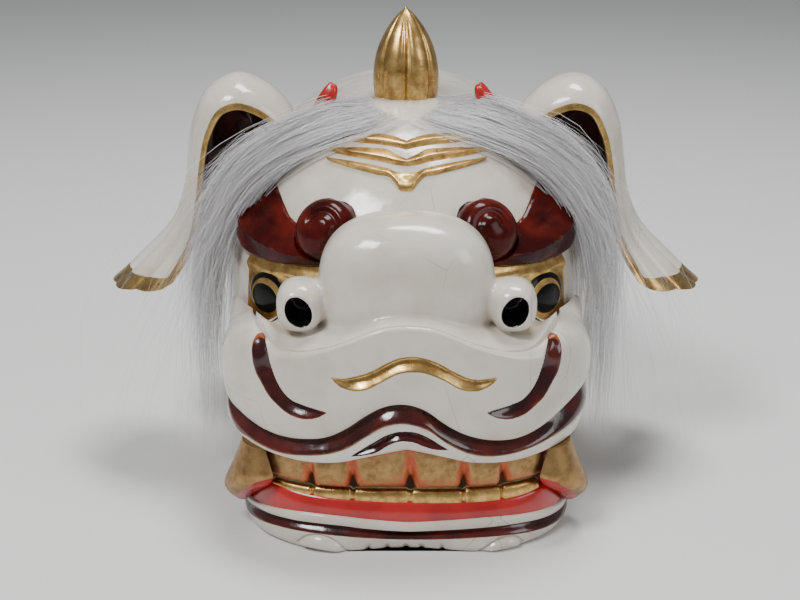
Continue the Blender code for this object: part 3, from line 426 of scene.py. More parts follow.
def even_turns(count, limit, shape):
    """Plan angles that lie equally far apart along a plan, and their places along it."""
    turns = np.linspace(-limit, limit, 4001)
    x, y, _, _ = plan(turns, *shape)
    run = np.concatenate(([0.0], np.cumsum(np.hypot(np.diff(x), np.diff(y)))))
    at = np.linspace(0.0, run[-1], count)
    return np.interp(at, run, turns), at - run[-1] / 2


# Skull measures

def skull_point(azimuth, elevation, lift=0.0):
    turn = np.radians(azimuth)
    rise = np.radians(np.maximum(elevation, 0.0))
    x = (SKULL_HALF + lift) * np.cos(rise) * np.sin(turn)
    y = SKULL_Y - (SKULL_REACH + lift) * np.cos(rise) * np.cos(turn)
    z = SKULL_LEVEL + (SKULL_RISE + lift) * np.sin(rise)
    z = z + SKULL_RISE * np.radians(np.minimum(elevation, 0.0))
    return np.stack(np.broadcast_arrays(x, y, z), axis=-1)


def skull_measure(x, y, z, lift=0.0):
    back = np.minimum(y - SKULL_Y, 0.0)
    up = np.maximum(z - SKULL_LEVEL, 0.0)
    return ((x / (SKULL_HALF + lift)) ** 2 + (back / (SKULL_REACH + lift)) ** 2
            + (up / (SKULL_RISE + lift)) ** 2)


def skull_height(x, y, lift=0.0):
    back = np.minimum(y - SKULL_Y, 0.0)
    rest = 1 - (x / (SKULL_HALF + lift)) ** 2 - (back / (SKULL_REACH + lift)) ** 2
    return SKULL_LEVEL + (SKULL_RISE + lift) * np.sqrt(np.maximum(rest, 0.0))


# Materials

PAINTS = {
    # base colour, second colour, roughness, metallic, crinkle
    "white": ((0.66, 0.615, 0.54), (0.56, 0.50, 0.41), 0.16, 0.0, 0.10),
    "maroon": ((0.030, 0.0028, 0.0025), (0.105, 0.010, 0.006), 0.15, 0.0, 0.10),
    "vermilion": ((0.46, 0.016, 0.014), (0.30, 0.010, 0.010), 0.22, 0.0, 0.12),
    "gold": ((0.68, 0.445, 0.155), (0.27, 0.140, 0.045), 0.27, 1.0, 0.45),
    # A darker copy of the gold: painted shade for the upper teeth and tusks under the lip
    "shade_darkened_gold": ((0.40, 0.245, 0.10), (0.21, 0.115, 0.045), 0.34, 0.92, 0.40),
    "bole": ((0.42, 0.085, 0.035), (0.52, 0.20, 0.07), 0.30, 0.60, 0.40),
    "black": ((0.003, 0.003, 0.003), (0.005, 0.005, 0.005), 0.14, 0.0, 0.05),
    "wood": ((0.34, 0.205, 0.10), (0.20, 0.11, 0.05), 0.62, 0.0, 0.35),
}
# Pattern of the second colour: scale, detail, roughness and stretch
PLAIN_GRAIN = (55.0, 3.0, 0.55, None)
LEAF_GRAIN = (210.0, 5.0, 0.65, None)
GRAINS = {
    "wood": (60.0, 6.0, 0.7, (1.0, 0.12, 1.6)),
    "gold": LEAF_GRAIN,
    "shade_darkened_gold": LEAF_GRAIN,
    "bole": LEAF_GRAIN,
}
COATED = ("white", "vermilion")
DEEP = ("maroon", "black")
# Lighter orange-brown laid on maroon along its edges and ridges: partly wear, partly a painted
# highlight
WEAR_AND_HIGHLIGHT_COLOUR = (0.27, 0.080, 0.024)
CHIP_COLOUR = (0.030, 0.018, 0.012)
NO_PAINT = -0.01


def link_math(tree, operation, *values, clamp=False):
    node = tree.nodes.new("ShaderNodeMath")
    node.operation = operation
    node.use_clamp = clamp
    for socket, value in zip(node.inputs, values):
        if isinstance(value, (int, float)):
            socket.default_value = value
        else:
            tree.links.new(value, socket)
    return node.outputs[0]


def link_noise(tree, coordinates, scale, detail=4.0, rough=0.55, stretch=None):
    node = tree.nodes.new("ShaderNodeTexNoise")
    node.inputs["Scale"].default_value = scale
    node.inputs["Detail"].default_value = detail
    node.inputs["Roughness"].default_value = rough
    source = coordinates
    if stretch:
        mapping = tree.nodes.new("ShaderNodeMapping")
        mapping.inputs["Scale"].default_value = stretch
        tree.links.new(coordinates, mapping.inputs["Vector"])
        source = mapping.outputs["Vector"]
    tree.links.new(source, node.inputs["Vector"])
    return node.outputs["Fac"]


def link_ramp(tree, value, low, high):
    """0 below low, 1 above high and straight between."""
    node = tree.nodes.new("ShaderNodeMapRange")
    node.inputs["From Min"].default_value = low
    node.inputs["From Max"].default_value = high
    tree.links.new(value, node.inputs["Value"])
    return node.outputs["Result"]


def link_mix(tree, share, first, second):
    node = tree.nodes.new("ShaderNodeMix")
    node.data_type = "RGBA"
    tree.links.new(share, node.inputs["Factor"])
    for key, value in ((6, first), (7, second)):
        if isinstance(value, tuple):
            node.inputs[key].default_value = (*value, 1.0)
        else:
            tree.links.new(value, node.inputs[key])
    return node.outputs[2]


def attribute(tree, name):
    node = tree.nodes.new("ShaderNodeAttribute")
    node.attribute_name = name
    return node.outputs["Fac"]


def paint_layers(tree, coordinates, name):
    """Colour, roughness and metallic value of one paint."""
    base, second, rough, metallic, crinkle = PAINTS[name]
    broad = link_noise(tree, coordinates, *GRAINS.get(name, PLAIN_GRAIN))
    colour = link_mix(tree, link_ramp(tree, broad, 0.42, 0.72), base, second)
    fine = link_noise(tree, coordinates, 420.0, 3.0)
    roughness = link_math(tree, "MULTIPLY_ADD", fine, crinkle, rough - crinkle * 0.35)
    return colour, roughness, metallic


def finish(name, base, layers=()):
    """Lacquer or leaf on carved wood.

    Each layer is a paint whose mesh value of the same name is above 0 where it lies.
    """
    material = bpy.data.materials.new(name)
    material["layers"] = " ".join(layers + ("rub",) if "maroon" in layers else layers)
    material.use_nodes = True
    tree = material.node_tree
    shader = tree.nodes["Principled BSDF"]
    coordinates = tree.nodes.new("ShaderNodeTexCoord").outputs["Object"]
    colour, roughness, metallic = paint_layers(tree, coordinates, base)
    wander = link_noise(tree, coordinates, 900.0, 2.0)
    wobble = link_math(tree, "MULTIPLY_ADD", wander, 0.0004, -0.0002)
    if base == "white":
        colour = age_white(tree, coordinates, colour)
    for layer in layers:
        depth = link_math(tree, "ADD", attribute(tree, layer), wobble)
        if layer == "bole":
            patches = link_noise(tree, coordinates, 240.0, 4.0, 0.7)
            spread = link_math(tree, "MULTIPLY_ADD", patches, 0.006, -0.003)
            depth = link_math(tree, "ADD", depth, spread)
        sharp = 420.0 if layer == "bole" else 7000.0
        share = link_math(tree, "MULTIPLY_ADD", depth, sharp, 0.5, clamp=True)
        top, top_rough, top_metallic = paint_layers(tree, coordinates, layer)
        # Near the maroon's edges and ridges a lighter orange-brown is mixed in, partly wear and
        # partly painted highlight
        if layer == "maroon":
            patches = link_noise(tree, coordinates, 160.0, 4.0, 0.7)
            reach = link_math(tree, "MULTIPLY_ADD", patches, 0.0026, -0.0007)
            band = link_math(tree, "SUBTRACT", reach, attribute(tree, "rub"))
            worn_and_lit = link_math(tree, "MULTIPLY", band, 900.0, clamp=True)
            top = link_mix(tree, worn_and_lit, top, WEAR_AND_HIGHLIGHT_COLOUR)
        colour = link_mix(tree, share, colour, top)
        keep = link_math(tree, "SUBTRACT", 1.0, share)
        roughness = link_math(tree, "ADD", link_math(tree, "MULTIPLY", top_rough, share),
                              link_math(tree, "MULTIPLY", roughness, keep))
        metallic = link_math(tree, "ADD", link_math(tree, "MULTIPLY", share, top_metallic),
                             link_math(tree, "MULTIPLY", keep, metallic))
    tree.links.new(colour, shader.inputs["Base Color"])
    tree.links.new(roughness, shader.inputs["Roughness"])
    if isinstance(metallic, (int, float)):
        shader.inputs["Metallic"].default_value = metallic
    else:
        tree.links.new(metallic, shader.inputs["Metallic"])
    if base in COATED:
        shader.inputs["Coat Weight"].default_value = 0.35
        shader.inputs["Coat Roughness"].default_value = 0.06
    if base in DEEP:
        shader.inputs["Specular IOR Level"].default_value = 0.16
    undulate = link_noise(tree, coordinates, 130.0, 2.0, 0.4)
    grain = link_noise(tree, coordinates, 1500.0, 3.0)
    height = link_math(tree, "MULTIPLY_ADD", grain, 0.16 if "gold" in base else 0.04, undulate)
    bump = tree.nodes.new("ShaderNodeBump")
    bump.inputs["Strength"].default_value = 0.55
    bump.inputs["Distance"].default_value = 0.0007
    tree.links.new(height, bump.inputs["Height"])
    tree.links.new(bump.outputs["Normal"], shader.inputs["Normal"])
    return material


def age_white(tree, coordinates, colour):
    """Small chips, dark specks and hairline marks in the white lacquer."""
    cells = tree.nodes.new("ShaderNodeTexVoronoi")
    cells.inputs["Scale"].default_value = 85.0
    tree.links.new(coordinates, cells.inputs["Vector"])
    pick = tree.nodes.new("ShaderNodeSeparateColor")
    tree.links.new(cells.outputs["Color"], pick.inputs["Color"])
    chosen = link_math(tree, "GREATER_THAN", pick.outputs["Red"], 0.80)
    size = link_math(tree, "MULTIPLY", pick.outputs["Green"], 0.045)
    spot = link_math(tree, "LESS_THAN", cells.outputs["Distance"], size)
    spots = link_math(tree, "MULTIPLY", chosen, spot)
    lines = tree.nodes.new("ShaderNodeTexVoronoi")
    lines.feature = "DISTANCE_TO_EDGE"
    lines.inputs["Scale"].default_value = 26.0
    bend = tree.nodes.new("ShaderNodeMapping")
    bend.inputs["Scale"].default_value = (1.0, 1.0, 0.55)
    tree.links.new(coordinates, bend.inputs["Vector"])
    tree.links.new(bend.outputs["Vector"], lines.inputs["Vector"])
    thin = link_math(tree, "LESS_THAN", lines.outputs["Distance"], 0.0035)
    zone = link_ramp(tree, link_noise(tree, coordinates, 24.0, 1.0), 0.56, 0.64)
    hair_lines = link_math(tree, "MULTIPLY", link_math(tree, "MULTIPLY", thin, zone), 0.35)
    marks = link_math(tree, "MAXIMUM", spots, hair_lines)
    return link_mix(tree, marks, colour, CHIP_COLOUR)


def hair_finish():
    material = bpy.data.materials.new("pale_hair")
    material["layers"] = "shade"
    material.use_nodes = True
    tree = material.node_tree
    shader = tree.nodes["Principled BSDF"]
    shade = attribute(tree, "shade")
    grey = link_mix(tree, shade, (0.50, 0.49, 0.52), (0.93, 0.92, 0.93))
    coordinates = tree.nodes.new("ShaderNodeTexCoord").outputs["Object"]
    patch = link_ramp(tree, link_noise(tree, coordinates, 70.0, 3.0), 0.35, 0.75)
    tinted = link_mix(tree, link_math(tree, "MULTIPLY", patch, 0.30), grey, (0.60, 0.55, 0.49))
    tree.links.new(tinted, shader.inputs["Base Color"])
    shader.inputs["Roughness"].default_value = 0.38
    shader.inputs["Specular IOR Level"].default_value = 0.6
    shader.inputs["Sheen Weight"].default_value = 0.25
    return material


# Meshes

def piece(name, points, faces, material, body, replaced, values=None, angle=50.0):
    """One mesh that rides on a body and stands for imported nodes."""
    mesh = bpy.data.meshes.new(name)
    mesh.from_pydata(np.asarray(points).tolist(), [], [tuple(f) for f in faces])
    mesh.validate()
    values = values or {}
    layers = {key: values.get(key, NO_PAINT) for key in material["layers"].split()}
    for key, value in layers.items():
        layer = mesh.attributes.new(key, "FLOAT", "POINT")
        value = np.broadcast_to(np.asarray(value, np.float32).ravel(), len(mesh.vertices))
        layer.data.foreach_set("value", np.ascontiguousarray(value))
    mesh.shade_smooth()
    mesh.set_sharp_from_angle(angle=math.radians(angle))
    item = bpy.data.objects.new(name, mesh)
    item.data.materials.append(material)
    bpy.context.collection.objects.link(item)
    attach(item, body)
    if replaced:
        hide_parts(*replaced)
    return item


def ring_faces(rows, size):
    """Faces of closed rings joined in order, with both ends closed."""
    i, j = np.meshgrid(np.arange(rows - 1), np.arange(size), indexing="ij")
    k = (j + 1) % size
    faces = np.stack((i * size + j, i * size + k, (i + 1) * size + k, (i + 1) * size + j), -1)
    faces = faces.reshape(-1, 4).tolist()
    faces.append(list(reversed(range(size))))
    faces.append(list(range((rows - 1) * size, rows * size)))
    return faces


def facing_out(points, faces):
    """True where a closed mesh's faces point out."""
    points = np.asarray(points).reshape(-1, 3)
    total = 0.0
    for face in faces:
        corners = points[face]
        for a, b in zip(corners[1:-1], corners[2:]):
            total += corners[0] @ np.cross(a, b)
    return total > 0


def closed_loft(name, rings, material, body, replaced, values=None, angle=50.0):
    """Closed rings, joined in order with faces turned outwards. rings is rows by places by three."""
    rows, size = rings.shape[:2]
    faces = ring_faces(rows, size)
    coarse = rings[:: max(rows // 12, 1), :: max(size // 24, 1)]
    if not facing_out(coarse, ring_faces(*coarse.shape[:2])):
        faces = [list(reversed(f)) for f in faces]
    return piece(name, rings.reshape(-1, 3), faces, material, body, replaced, values, angle)


# Skull

def make_skull(material):
    """Arches from the hidden front tip to the back rim, outer and inner side by side."""
    front = np.linspace(4.0, 90.0, 84)
    split = np.array([CHEEK_TURN, CHEEK_TURN + 0.35])
    turns = np.sort(np.concatenate((front[np.abs(front - CHEEK_TURN) > 0.5], split)))
    places = [(SKULL_Y - SKULL_REACH * math.cos(math.radians(t)), math.sin(math.radians(t)),
               SKULL_LOW if t <= CHEEK_TURN else SIDE_LOW) for t in turns]
    back = np.concatenate(([SKULL_Y + 0.0005], np.linspace(SKULL_Y + 0.002, BACK_Y, 26)))
    places += [(y, 1.0, 0.0) for y in back]
    arch = np.linspace(0.0, 90.0, 46)
    drop = np.linspace(0.0, 1.0, 15)[:-1]
    rings = []
    inside = []
    red = []
    for y, scale, low in places:
        sides = []
        for lift in (0.0, -WALL):
            depth = max(scale, 0.001)
            if lift:
                back_share = np.clip((SKULL_Y - y) / (SKULL_REACH + lift), 0.0, 0.9995)
                depth = math.sqrt(1 - back_share ** 2)
                if y < SKULL_Y - SKULL_REACH + WALL:
                    depth = 0.002
            flare = SIDE_FLARE * smooth(SKULL_Y, SKULL_Y + 0.02, y)
            xs = (SKULL_HALF + lift) * depth * np.cos(np.radians(arch))
            zs = SKULL_LEVEL + (SKULL_RISE + lift) * depth * np.sin(np.radians(arch))
            zd = low + (SKULL_LEVEL - low) * drop
            xd = xs[0] + flare * (1 - zd / SKULL_LEVEL) ** 2
            half = np.column_stack((np.concatenate((xd, xs)), np.concatenate((zd, zs))))
            other = half[:-1][::-1] * (-1, 1)
            sides.append(np.vstack((half, other)))
        outer, inner = sides
        inner = inner[::-1]
        ring = np.vstack((outer, inner))
        rings.append(np.column_stack((ring[:, 0], np.full(len(ring), y), ring[:, 1])))
        flag = np.concatenate((np.full(len(outer), -0.001), np.full(len(inner), 0.001)))
        inside.append(flag)
        edge = 0.0012 - np.abs(y - (SKULL_Y + 0.0005))
        red.append(np.where(ring[:, 1] < SIDE_LOW - 0.0005, edge, -0.001))
    rings = np.array(rings)
    return closed_loft("skull_shell", rings, material, "head", ("skull",),
                       values={"wood": np.array(inside), "vermilion": np.array(red)})


# Muzzle and upper lip

def muzzle_share(x):
    return np.minimum(np.abs(x) / MUZZLE_HALF, 1.0)


def muzzle_front(x):
    share = muzzle_share(x)
    rest = np.maximum(1 - share ** MUZZLE_SQUARE, 0.0) ** (1 / MUZZLE_SQUARE)
    return LIP_Y + MUZZLE_LENGTH * (1 - rest)


def roof_height(x, y):
    """Top of the shelf and cheeks at a place behind the front face."""
    back = np.maximum(y - muzzle_front(x), 0.0)
    top = MUZZLE_TOP * read(MUZZLE_SECTIONS, 1, muzzle_share(x))
    cheek = smooth(0.62, 0.84, muzzle_share(x))
    shelf = SHELF_SLOPE * np.minimum(back, SHELF_LENGTH)
    swell = CHEEK_RISE * np.sin(np.pi * np.minimum(back / (2 * SHELF_LENGTH), 1.0))
    fall = CHEEK_FALL * smooth(SHELF_LENGTH, 4 * SHELF_LENGTH, back)
    return top + shelf * (1 - cheek) + (swell - fall) * cheek


def reach_skull(x, y, across, ahead, z, lift):
    """How far along a direction the skull is met, for arrays of places."""
    low = np.zeros_like(x)
    high = np.full_like(x, 0.10)
    z = np.maximum(z, SKULL_LEVEL)
    for _ in range(26):
        middle = (low + high) / 2
        hit = skull_measure(x + across * middle, y + ahead * middle, z, lift) < 1
        high = np.where(hit, middle, high)
        low = np.where(hit, low, middle)
    return high


def lay_on_plan(run_of, outline, side=1):
    """Turns a table of x and height in centimetres into places along the plan, in metres."""
    outline = np.array(outline, float) * CM * (side, 1)
    return np.column_stack((run_of(outline[:, 0]), outline[:, 1]))


def muzzle_columns(count):
    turns, run = even_turns(count, 90.0, MUZZLE_PLAN)
    x, y, nx, ny = plan(turns, *MUZZLE_PLAN)
    swing = smooth(34.0, 88.0, np.abs(turns)) * np.pi / 2
    across = -np.sign(x) * np.sin(swing)
    ahead = np.cos(swing)

    def run_of(place):
        return np.interp(place, x, run)

    return run, x, y, nx, ny, across, ahead, run_of


def muzzle_inside(x, y, nx, ny):
    """The inner wall's places, kept off the skull where the two meet."""
    inner_x = x + nx * WALL
    inner_y = y + ny * WALL
    inside = skull_measure(inner_x, inner_y, SKULL_LEVEL, SEAT) < 1
    turn = np.arctan2(x, SKULL_Y - y)
    inner_x = np.where(inside, (SKULL_HALF + SEAT) * np.sin(turn), inner_x)
    inner_y = np.where(inside, SKULL_Y - (SKULL_REACH + SEAT) * np.cos(turn), inner_y)
    return inner_x, inner_y


def cheek_swell(flat):
    """How far the cheeks stand out from the plan at places along it."""
    return CHEEK_SWELL * np.exp(-((np.abs(flat[:, 0]) - 0.092) / 0.020) ** 2
                                - ((flat[:, 1] - 0.072) / 0.025) ** 2)


def make_muzzle(material):
    """Rings of one profile each: up the face, over the edge, in to the skull and back inside."""
    run, x, y, nx, ny, across, ahead, run_of = muzzle_columns(FACE_COLUMNS)
    split = read(SPLIT_LINE, 1, x / CM) * CM
    top = roof_height(x, y)
    seat = SEAT * 0.5
    room = reach_skull(x, y, across, ahead, top, seat)
    radius = np.minimum(WALL * read(MUZZLE_SECTIONS, 3, muzzle_share(x)), room * 0.7)
    shoulder = top - radius
    far = reach_skull(x + across * radius, y + ahead * radius, across, ahead, top, seat)
    rows = []
    faces_out = []
    front_rows = 66
    for i in range(front_rows):
        share = i / front_rows
        z = split + (shoulder - split) * share
        rows.append((x, y, z))
        faces_out.append((-nx, -ny, 0 * x))
    for i in range(15):
        angle = np.pi / 2 * i / 15
        push = radius * (1 - np.cos(angle))
        rows.append((x + across * push, y + ahead * push, shoulder + radius * np.sin(angle)))
        c = np.cos(angle)
        faces_out.append((-nx * c, -ny * c, np.sin(angle) + 0 * x))
    for i in range(31):
        share = (i / 30) ** 1.15
        px = x + across * (radius + far * share)
        py = y + ahead * (radius + far * share)
        rows.append((px, py, roof_height(px, py)))
        faces_out.append((0 * x, 0 * x, 1 + 0 * x))
    outer = np.array(rows).transpose(2, 0, 1)
    normal = np.array(faces_out).transpose(2, 0, 1)
    shape = outer.shape[:2]
    push = np.hypot(outer[:, :, 0] - x[:, None], outer[:, :, 1] - y[:, None])
    seen = outer[:, :, 2] + VIEW_SLOPE * push
    flat = np.column_stack((np.broadcast_to(run[:, None], shape).ravel(), seen.ravel()))
    maroon = np.full(len(flat), NO_PAINT)
    rub = np.full(len(flat), 0.01)
    cut = np.zeros(len(flat))
    near = outer[:, :, 1].ravel() < LIP_Y + 0.045
    front = near & (np.tile(np.arange(shape[1]), shape[0]) < front_rows + 24)
    for side in (1, -1):
        inner = lay_on_plan(run_of, CHEEK_CHANNEL_INNER, side)
        outer_edge = lay_on_plan(run_of, CHEEK_CHANNEL_OUTER, side)
        depth, carve = channel(flat[front], inner, outer_edge, 0.18, 0.0042, 0.0085)
        maroon[front] = np.maximum(maroon[front], depth)
        from_top = np.maximum(0.0965 - flat[front][:, 1], 0.0)
        cut[front] = np.maximum(cut[front], carve * (0.25 + 0.75 * smooth(0.0, 0.016, from_top)))
        # The cheek channel's outer edge and its top turn lighter orange-brown: partly wear, partly a
        # painted highlight on the slope that faces up
        to_outer = line_distance(flat[front], curve(outer_edge))
        to_outer = to_outer - 0.0018 * np.exp(-(from_top / 0.004) ** 2)
        rub[front] = np.minimum(rub[front], to_outer)
        crease = curve(lay_on_plan(run_of, CHEEK_CREASE, side))
        gap = line_distance(flat[front], crease)
        fade = smooth(0.1045, 0.1015, flat[front][:, 1])
        cut[front] = np.maximum(cut[front], 0.0009 * fade * np.exp(-(gap / 0.0006) ** 2))
    gold, carve = channel(flat[front], lay_on_plan(run_of, GOLD_CHANNEL_UPPER),
                          lay_on_plan(run_of, GOLD_CHANNEL_LOWER), 0.30, 0.0034, 0.007)
    cut[front] = np.maximum(cut[front], carve)
    gold_all = np.full(len(flat), NO_PAINT)
    gold_all[front] = gold
    under = 0.0012 * np.exp(-(flat[:, 1] - np.repeat(split, shape[1])) / 0.0022)
    under[~front] = 0.0
    lift = (cheek_swell(flat) - cut - under).reshape(shape)
    outer = outer + normal * lift[:, :, None]
    inner_x, inner_y = muzzle_inside(x, y, nx, ny)
    low_far = reach_skull(inner_x, inner_y, across, ahead, top, seat)
    back = []
    for share in (1.0, 0.6, 0.25, 0.0):
        qx = inner_x + across * low_far * share
        qy = inner_y + ahead * low_far * share
        back.append((qx, qy, roof_height(qx, qy) - WALL))
    ceiling = roof_height(inner_x, inner_y) - WALL
    for share in (0.7, 0.35, 0.0):
        back.append((inner_x, inner_y, split + (ceiling - split) * share))
    back.append((x + nx * 0.0022, y + ny * 0.0022, split + 0 * x))
    rings = np.concatenate((outer, np.array(back).transpose(2, 0, 1)), axis=1)
    extra = np.full((shape[0], len(back)), NO_PAINT)
    wood = np.concatenate((np.full(shape, NO_PAINT), -extra), axis=1)
    wood[:, -1] = NO_PAINT
    values = {
        "maroon": np.concatenate((maroon.reshape(shape), extra), axis=1),
        "rub": np.concatenate((rub.reshape(shape), -extra), axis=1),
        "gold": np.concatenate((gold_all.reshape(shape), extra), axis=1),
        "wood": wood,
    }
    return closed_loft("muzzle_face", rings, material, "head", ("muzzle",),
                       values=values)


def make_upper_lip(material):
    """The maroon channel under the face and the white lip below it."""
    run, x, y, nx, ny, _, _, run_of = muzzle_columns(FACE_COLUMNS)
    split = read(SPLIT_LINE, 1, x / CM) * CM
    edge = np.minimum(read(CHANNEL_LOW, 1, x / CM) * CM, split - 0.003)
    low = LIP_LOW * read(MUZZLE_SECTIONS, 2, muzzle_share(x))
    deep = LIP_CHANNEL_DEPTH
    rows = []
    maroon = []
    rub = []
    for i in range(19):
        share = i / 18
        z = split + 0.0012 + (edge - split - 0.0012) * share
        inset = deep * (1 - smooth(0.30, 1.0, share) ** 0.75)
        rows.append((x + nx * inset, y + ny * inset, z))
        maroon.append(np.minimum((1 - share) * (split - edge), 0.01) + 0.0001)
        # Towards the channel's lower edge the maroon turns lighter orange-brown: partly wear, partly
        # painted highlight
        rub.append((1 - share) * (split - edge))
    for i in range(1, 25):
        share = i / 24
        z = edge + (low - edge) * share
        crown = 0.0004 * np.sin(np.pi * share) - 0.0016 * smooth(0.80, 1.0, share) ** 2
        crown = crown - 0.0006 * (1 - smooth(0.0, 0.10, share))
        rows.append((x - nx * crown, y - ny * crown, z))
        maroon.append(-(share + 0.02) * (edge - low))
        rub.append(0.01 + 0 * x)
    outer = np.array(rows).transpose(2, 0, 1)
    shape = outer.shape[:2]
    flat = np.column_stack((np.repeat(run, shape[1]), outer[:, :, 2].ravel()))
    depth, carve = channel(flat, lay_on_plan(run_of, LIP_CHANNEL_UPPER),
                           lay_on_plan(run_of, LIP_CHANNEL_LOWER), 0.35, 0.0026, 0.005)
    white_zone = np.tile(np.arange(shape[1]) >= 19, shape[0])
    depth = np.where(white_zone, depth, NO_PAINT)
    carve = np.where(white_zone, carve, 0.0).reshape(shape) - cheek_swell(flat).reshape(shape)
    outer[:, :, 0] += carve * nx[:, None]
    outer[:, :, 1] += carve * ny[:, None]
    maroon = np.maximum(np.array(maroon).T, depth.reshape(shape))
    rub = np.array(rub).T
    inner_x, inner_y = muzzle_inside(x, y, nx, ny)
    back = []
    for share in (0.35, 0.7, 1.0):
        back.append((x + (inner_x - x) * share, y + (inner_y - y) * share, low + 0 * x))
    for share in (0.5, 1.0):
        back.append((inner_x, inner_y, low + (split - low) * share))
    back.append((x + nx * deep, y + ny * deep, split + 0.0012))
    rings = np.concatenate((outer, np.array(back).transpose(2, 0, 1)), axis=1)
    extra = np.full((shape[0], len(back)), NO_PAINT)
    above = outer[:, :, 2] - low[:, None]
    red = np.concatenate((0.0006 - above, np.full((shape[0], len(back)), 0.001)), axis=1)
    red[:, -1] = -0.001
    values = {
        "maroon": np.concatenate((maroon, extra), axis=1),
        "rub": np.concatenate((rub, -extra), axis=1),
        "vermilion": red,
    }
    return closed_loft("upper_lip_carved", rings, material, "head", ("upper_lip",),
                       values=values)


# Nose and nostrils, one carved form

def soft_min(a, b, reach):
    h = np.clip(0.5 + 0.5 * (b - a) / reach, 0, 1)
    return b * (1 - h) + a * h - reach * h * (1 - h)


def egg(x, y, z, centre, half, power):
    """About the distance outside a rounded block."""
    share = ((np.abs(x - centre[0]) / half[0]) ** power
             + (np.abs(y - centre[1]) / half[1]) ** power
             + (np.abs(z - centre[2]) / half[2]) ** power) ** (1 / power)
    return (share - 1) * min(half)


def surface_net(field, low, step):
    """The zero surface of a field of distances, as points and four-sided faces."""
    inside = field < 0
    size = np.array(field.shape) - 1
    sums = np.zeros((*size, 3))
    counts = np.zeros(size)
    corners = [(i, j, k) for i in (0, 1) for j in (0, 1) for k in (0, 1)]
    grid = np.stack(np.meshgrid(*[np.arange(n) for n in size], indexing="ij"), -1).astype(float)

    def part(array, corner):
        i, j, k = corner
        return array[i:i + size[0], j:j + size[1], k:k + size[2]]

    for a in corners:
        for axis in range(3):
            if a[axis] == 1:
                continue
            b = tuple(c + (1 if n == axis else 0) for n, c in enumerate(a))
            fa = part(field, a)
            fb = part(field, b)
            cross = (fa < 0) != (fb < 0)
            t = np.where(cross, fa / np.where(cross, fa - fb, 1.0), 0.0)
            place = grid + np.array(a, float)
            place[..., axis] += t
            sums[cross] += place[cross]
            counts[cross] += 1
    used = counts > 0
    index = np.full(size, -1)
    index[used] = np.arange(used.sum())
    points = sums[used] / counts[used][:, None] * step + low
    faces = []
    for axis in range(3):
        u = (axis + 1) % 3
        v = (axis + 2) % 3
        first = [slice(1, -1)] * 3
        second = [slice(1, -1)] * 3
        second[axis] = slice(2, None)
        a = inside[tuple(first)]
        b = inside[tuple(second)]
        where = np.argwhere(a != b) + 1
        if not len(where):
            continue
        keep = (where < size).all(1)
        where = where[keep]
        starts = a[tuple((where - 1).T)]
        ring = []
        for du, dv in ((0, 0), (-1, 0), (-1, -1), (0, -1)):
            cell = where.copy()
            cell[:, u] += du
            cell[:, v] += dv
            ring.append(index[tuple(cell.T)])
        ring = np.stack(ring, 1)
        ring[~starts] = ring[~starts][:, ::-1]
        faces.append(ring)
    return points, np.vstack(faces)


def relax(points, faces, rounds, share):
    """Evens out a mesh a little."""
    edges = np.vstack([faces[:, [i, (i + 1) % 4]] for i in range(4)])
    edges = np.vstack((edges, edges[:, ::-1]))
    count = np.bincount(edges[:, 0], minlength=len(points))[:, None]
    for turn in range(rounds):
        total = np.zeros_like(points)
        np.add.at(total, edges[:, 0], points[edges[:, 1]])
        points = points + (total / count - points) * (share if turn % 2 == 0 else -share * 1.02)
    return points


def bore_share(x, z, side):
    """Distance from a nostril's middle line as a share of the bore."""
    bore_x = x - side * (LOBE_X + (z - LOBE_Z) * BORE_LEAN)
    return np.sqrt((bore_x / BORE_HALF) ** 2 + ((z - LOBE_Z) / BORE_RISE) ** 2)


def make_nose(material):
    step = NOSE_STEP
    low = np.array((-0.0625, LIP_Y + 0.0045, 0.088))
    high = np.array((0.0625, LIP_Y + 0.085, 0.1475))
    count = ((high - low) / step).astype(int)
    axes = [low[k] + step * np.arange(count[k]) for k in range(3)]
    x, y, z = np.meshgrid(*axes, indexing="ij")
    field = egg(x, y, z, *NOSE_BULB)
    reach = field
    hole = np.full_like(field, np.inf)
    for side in (-1, 1):
        lobe = egg(x, y, z, (side * LOBE_X, LOBE_Y, LOBE_Z), *LOBE_FORM)
        field = soft_min(field, lobe, NOSE_BLEND)
        reach = np.minimum(reach, lobe)
        bore = np.maximum((bore_share(x, z, side) - 1) * BORE_MEAN, y - BORE_END)
        hole = np.minimum(hole, bore)
    roof = roof_height(axes[0][:, None] + 0 * axes[1], axes[1][None, :] + 0 * axes[0][:, None])
    shelf = z - (roof[:, :, None] - 0.00025)
    field = soft_min(field, shelf * 0.95, NOSE_BLEND)
    field = np.maximum(field, (roof[:, :, None] - 0.0012) - z)
    deep = (np.sqrt(skull_measure(x, y, z)) - 1) * SKULL_HALF
    field = np.maximum(field, -(deep + 0.002))
    field = np.maximum(field, reach - NOSE_SPREAD)
    field = -soft_min(-field, hole, 0.0014)
    field = np.pad(field, 1, constant_values=0.01)
    points, faces = surface_net(field, low - step, step)
    points = relax(points, faces, 8, 0.5)
    px, py, pz = points.T
    black = [(1.10 - bore_share(px, pz, side)) * BORE_MEAN for side in (-1, 1)]
    black = np.where(py < LIP_Y + 0.034, np.maximum(*black), NO_PAINT)
    return piece("nose_and_nostrils", points, faces.tolist(), material, "head",
                 ("nose", "nostril_left", "nostril_right"),
                 values={"black": black})


# Relief on the skull

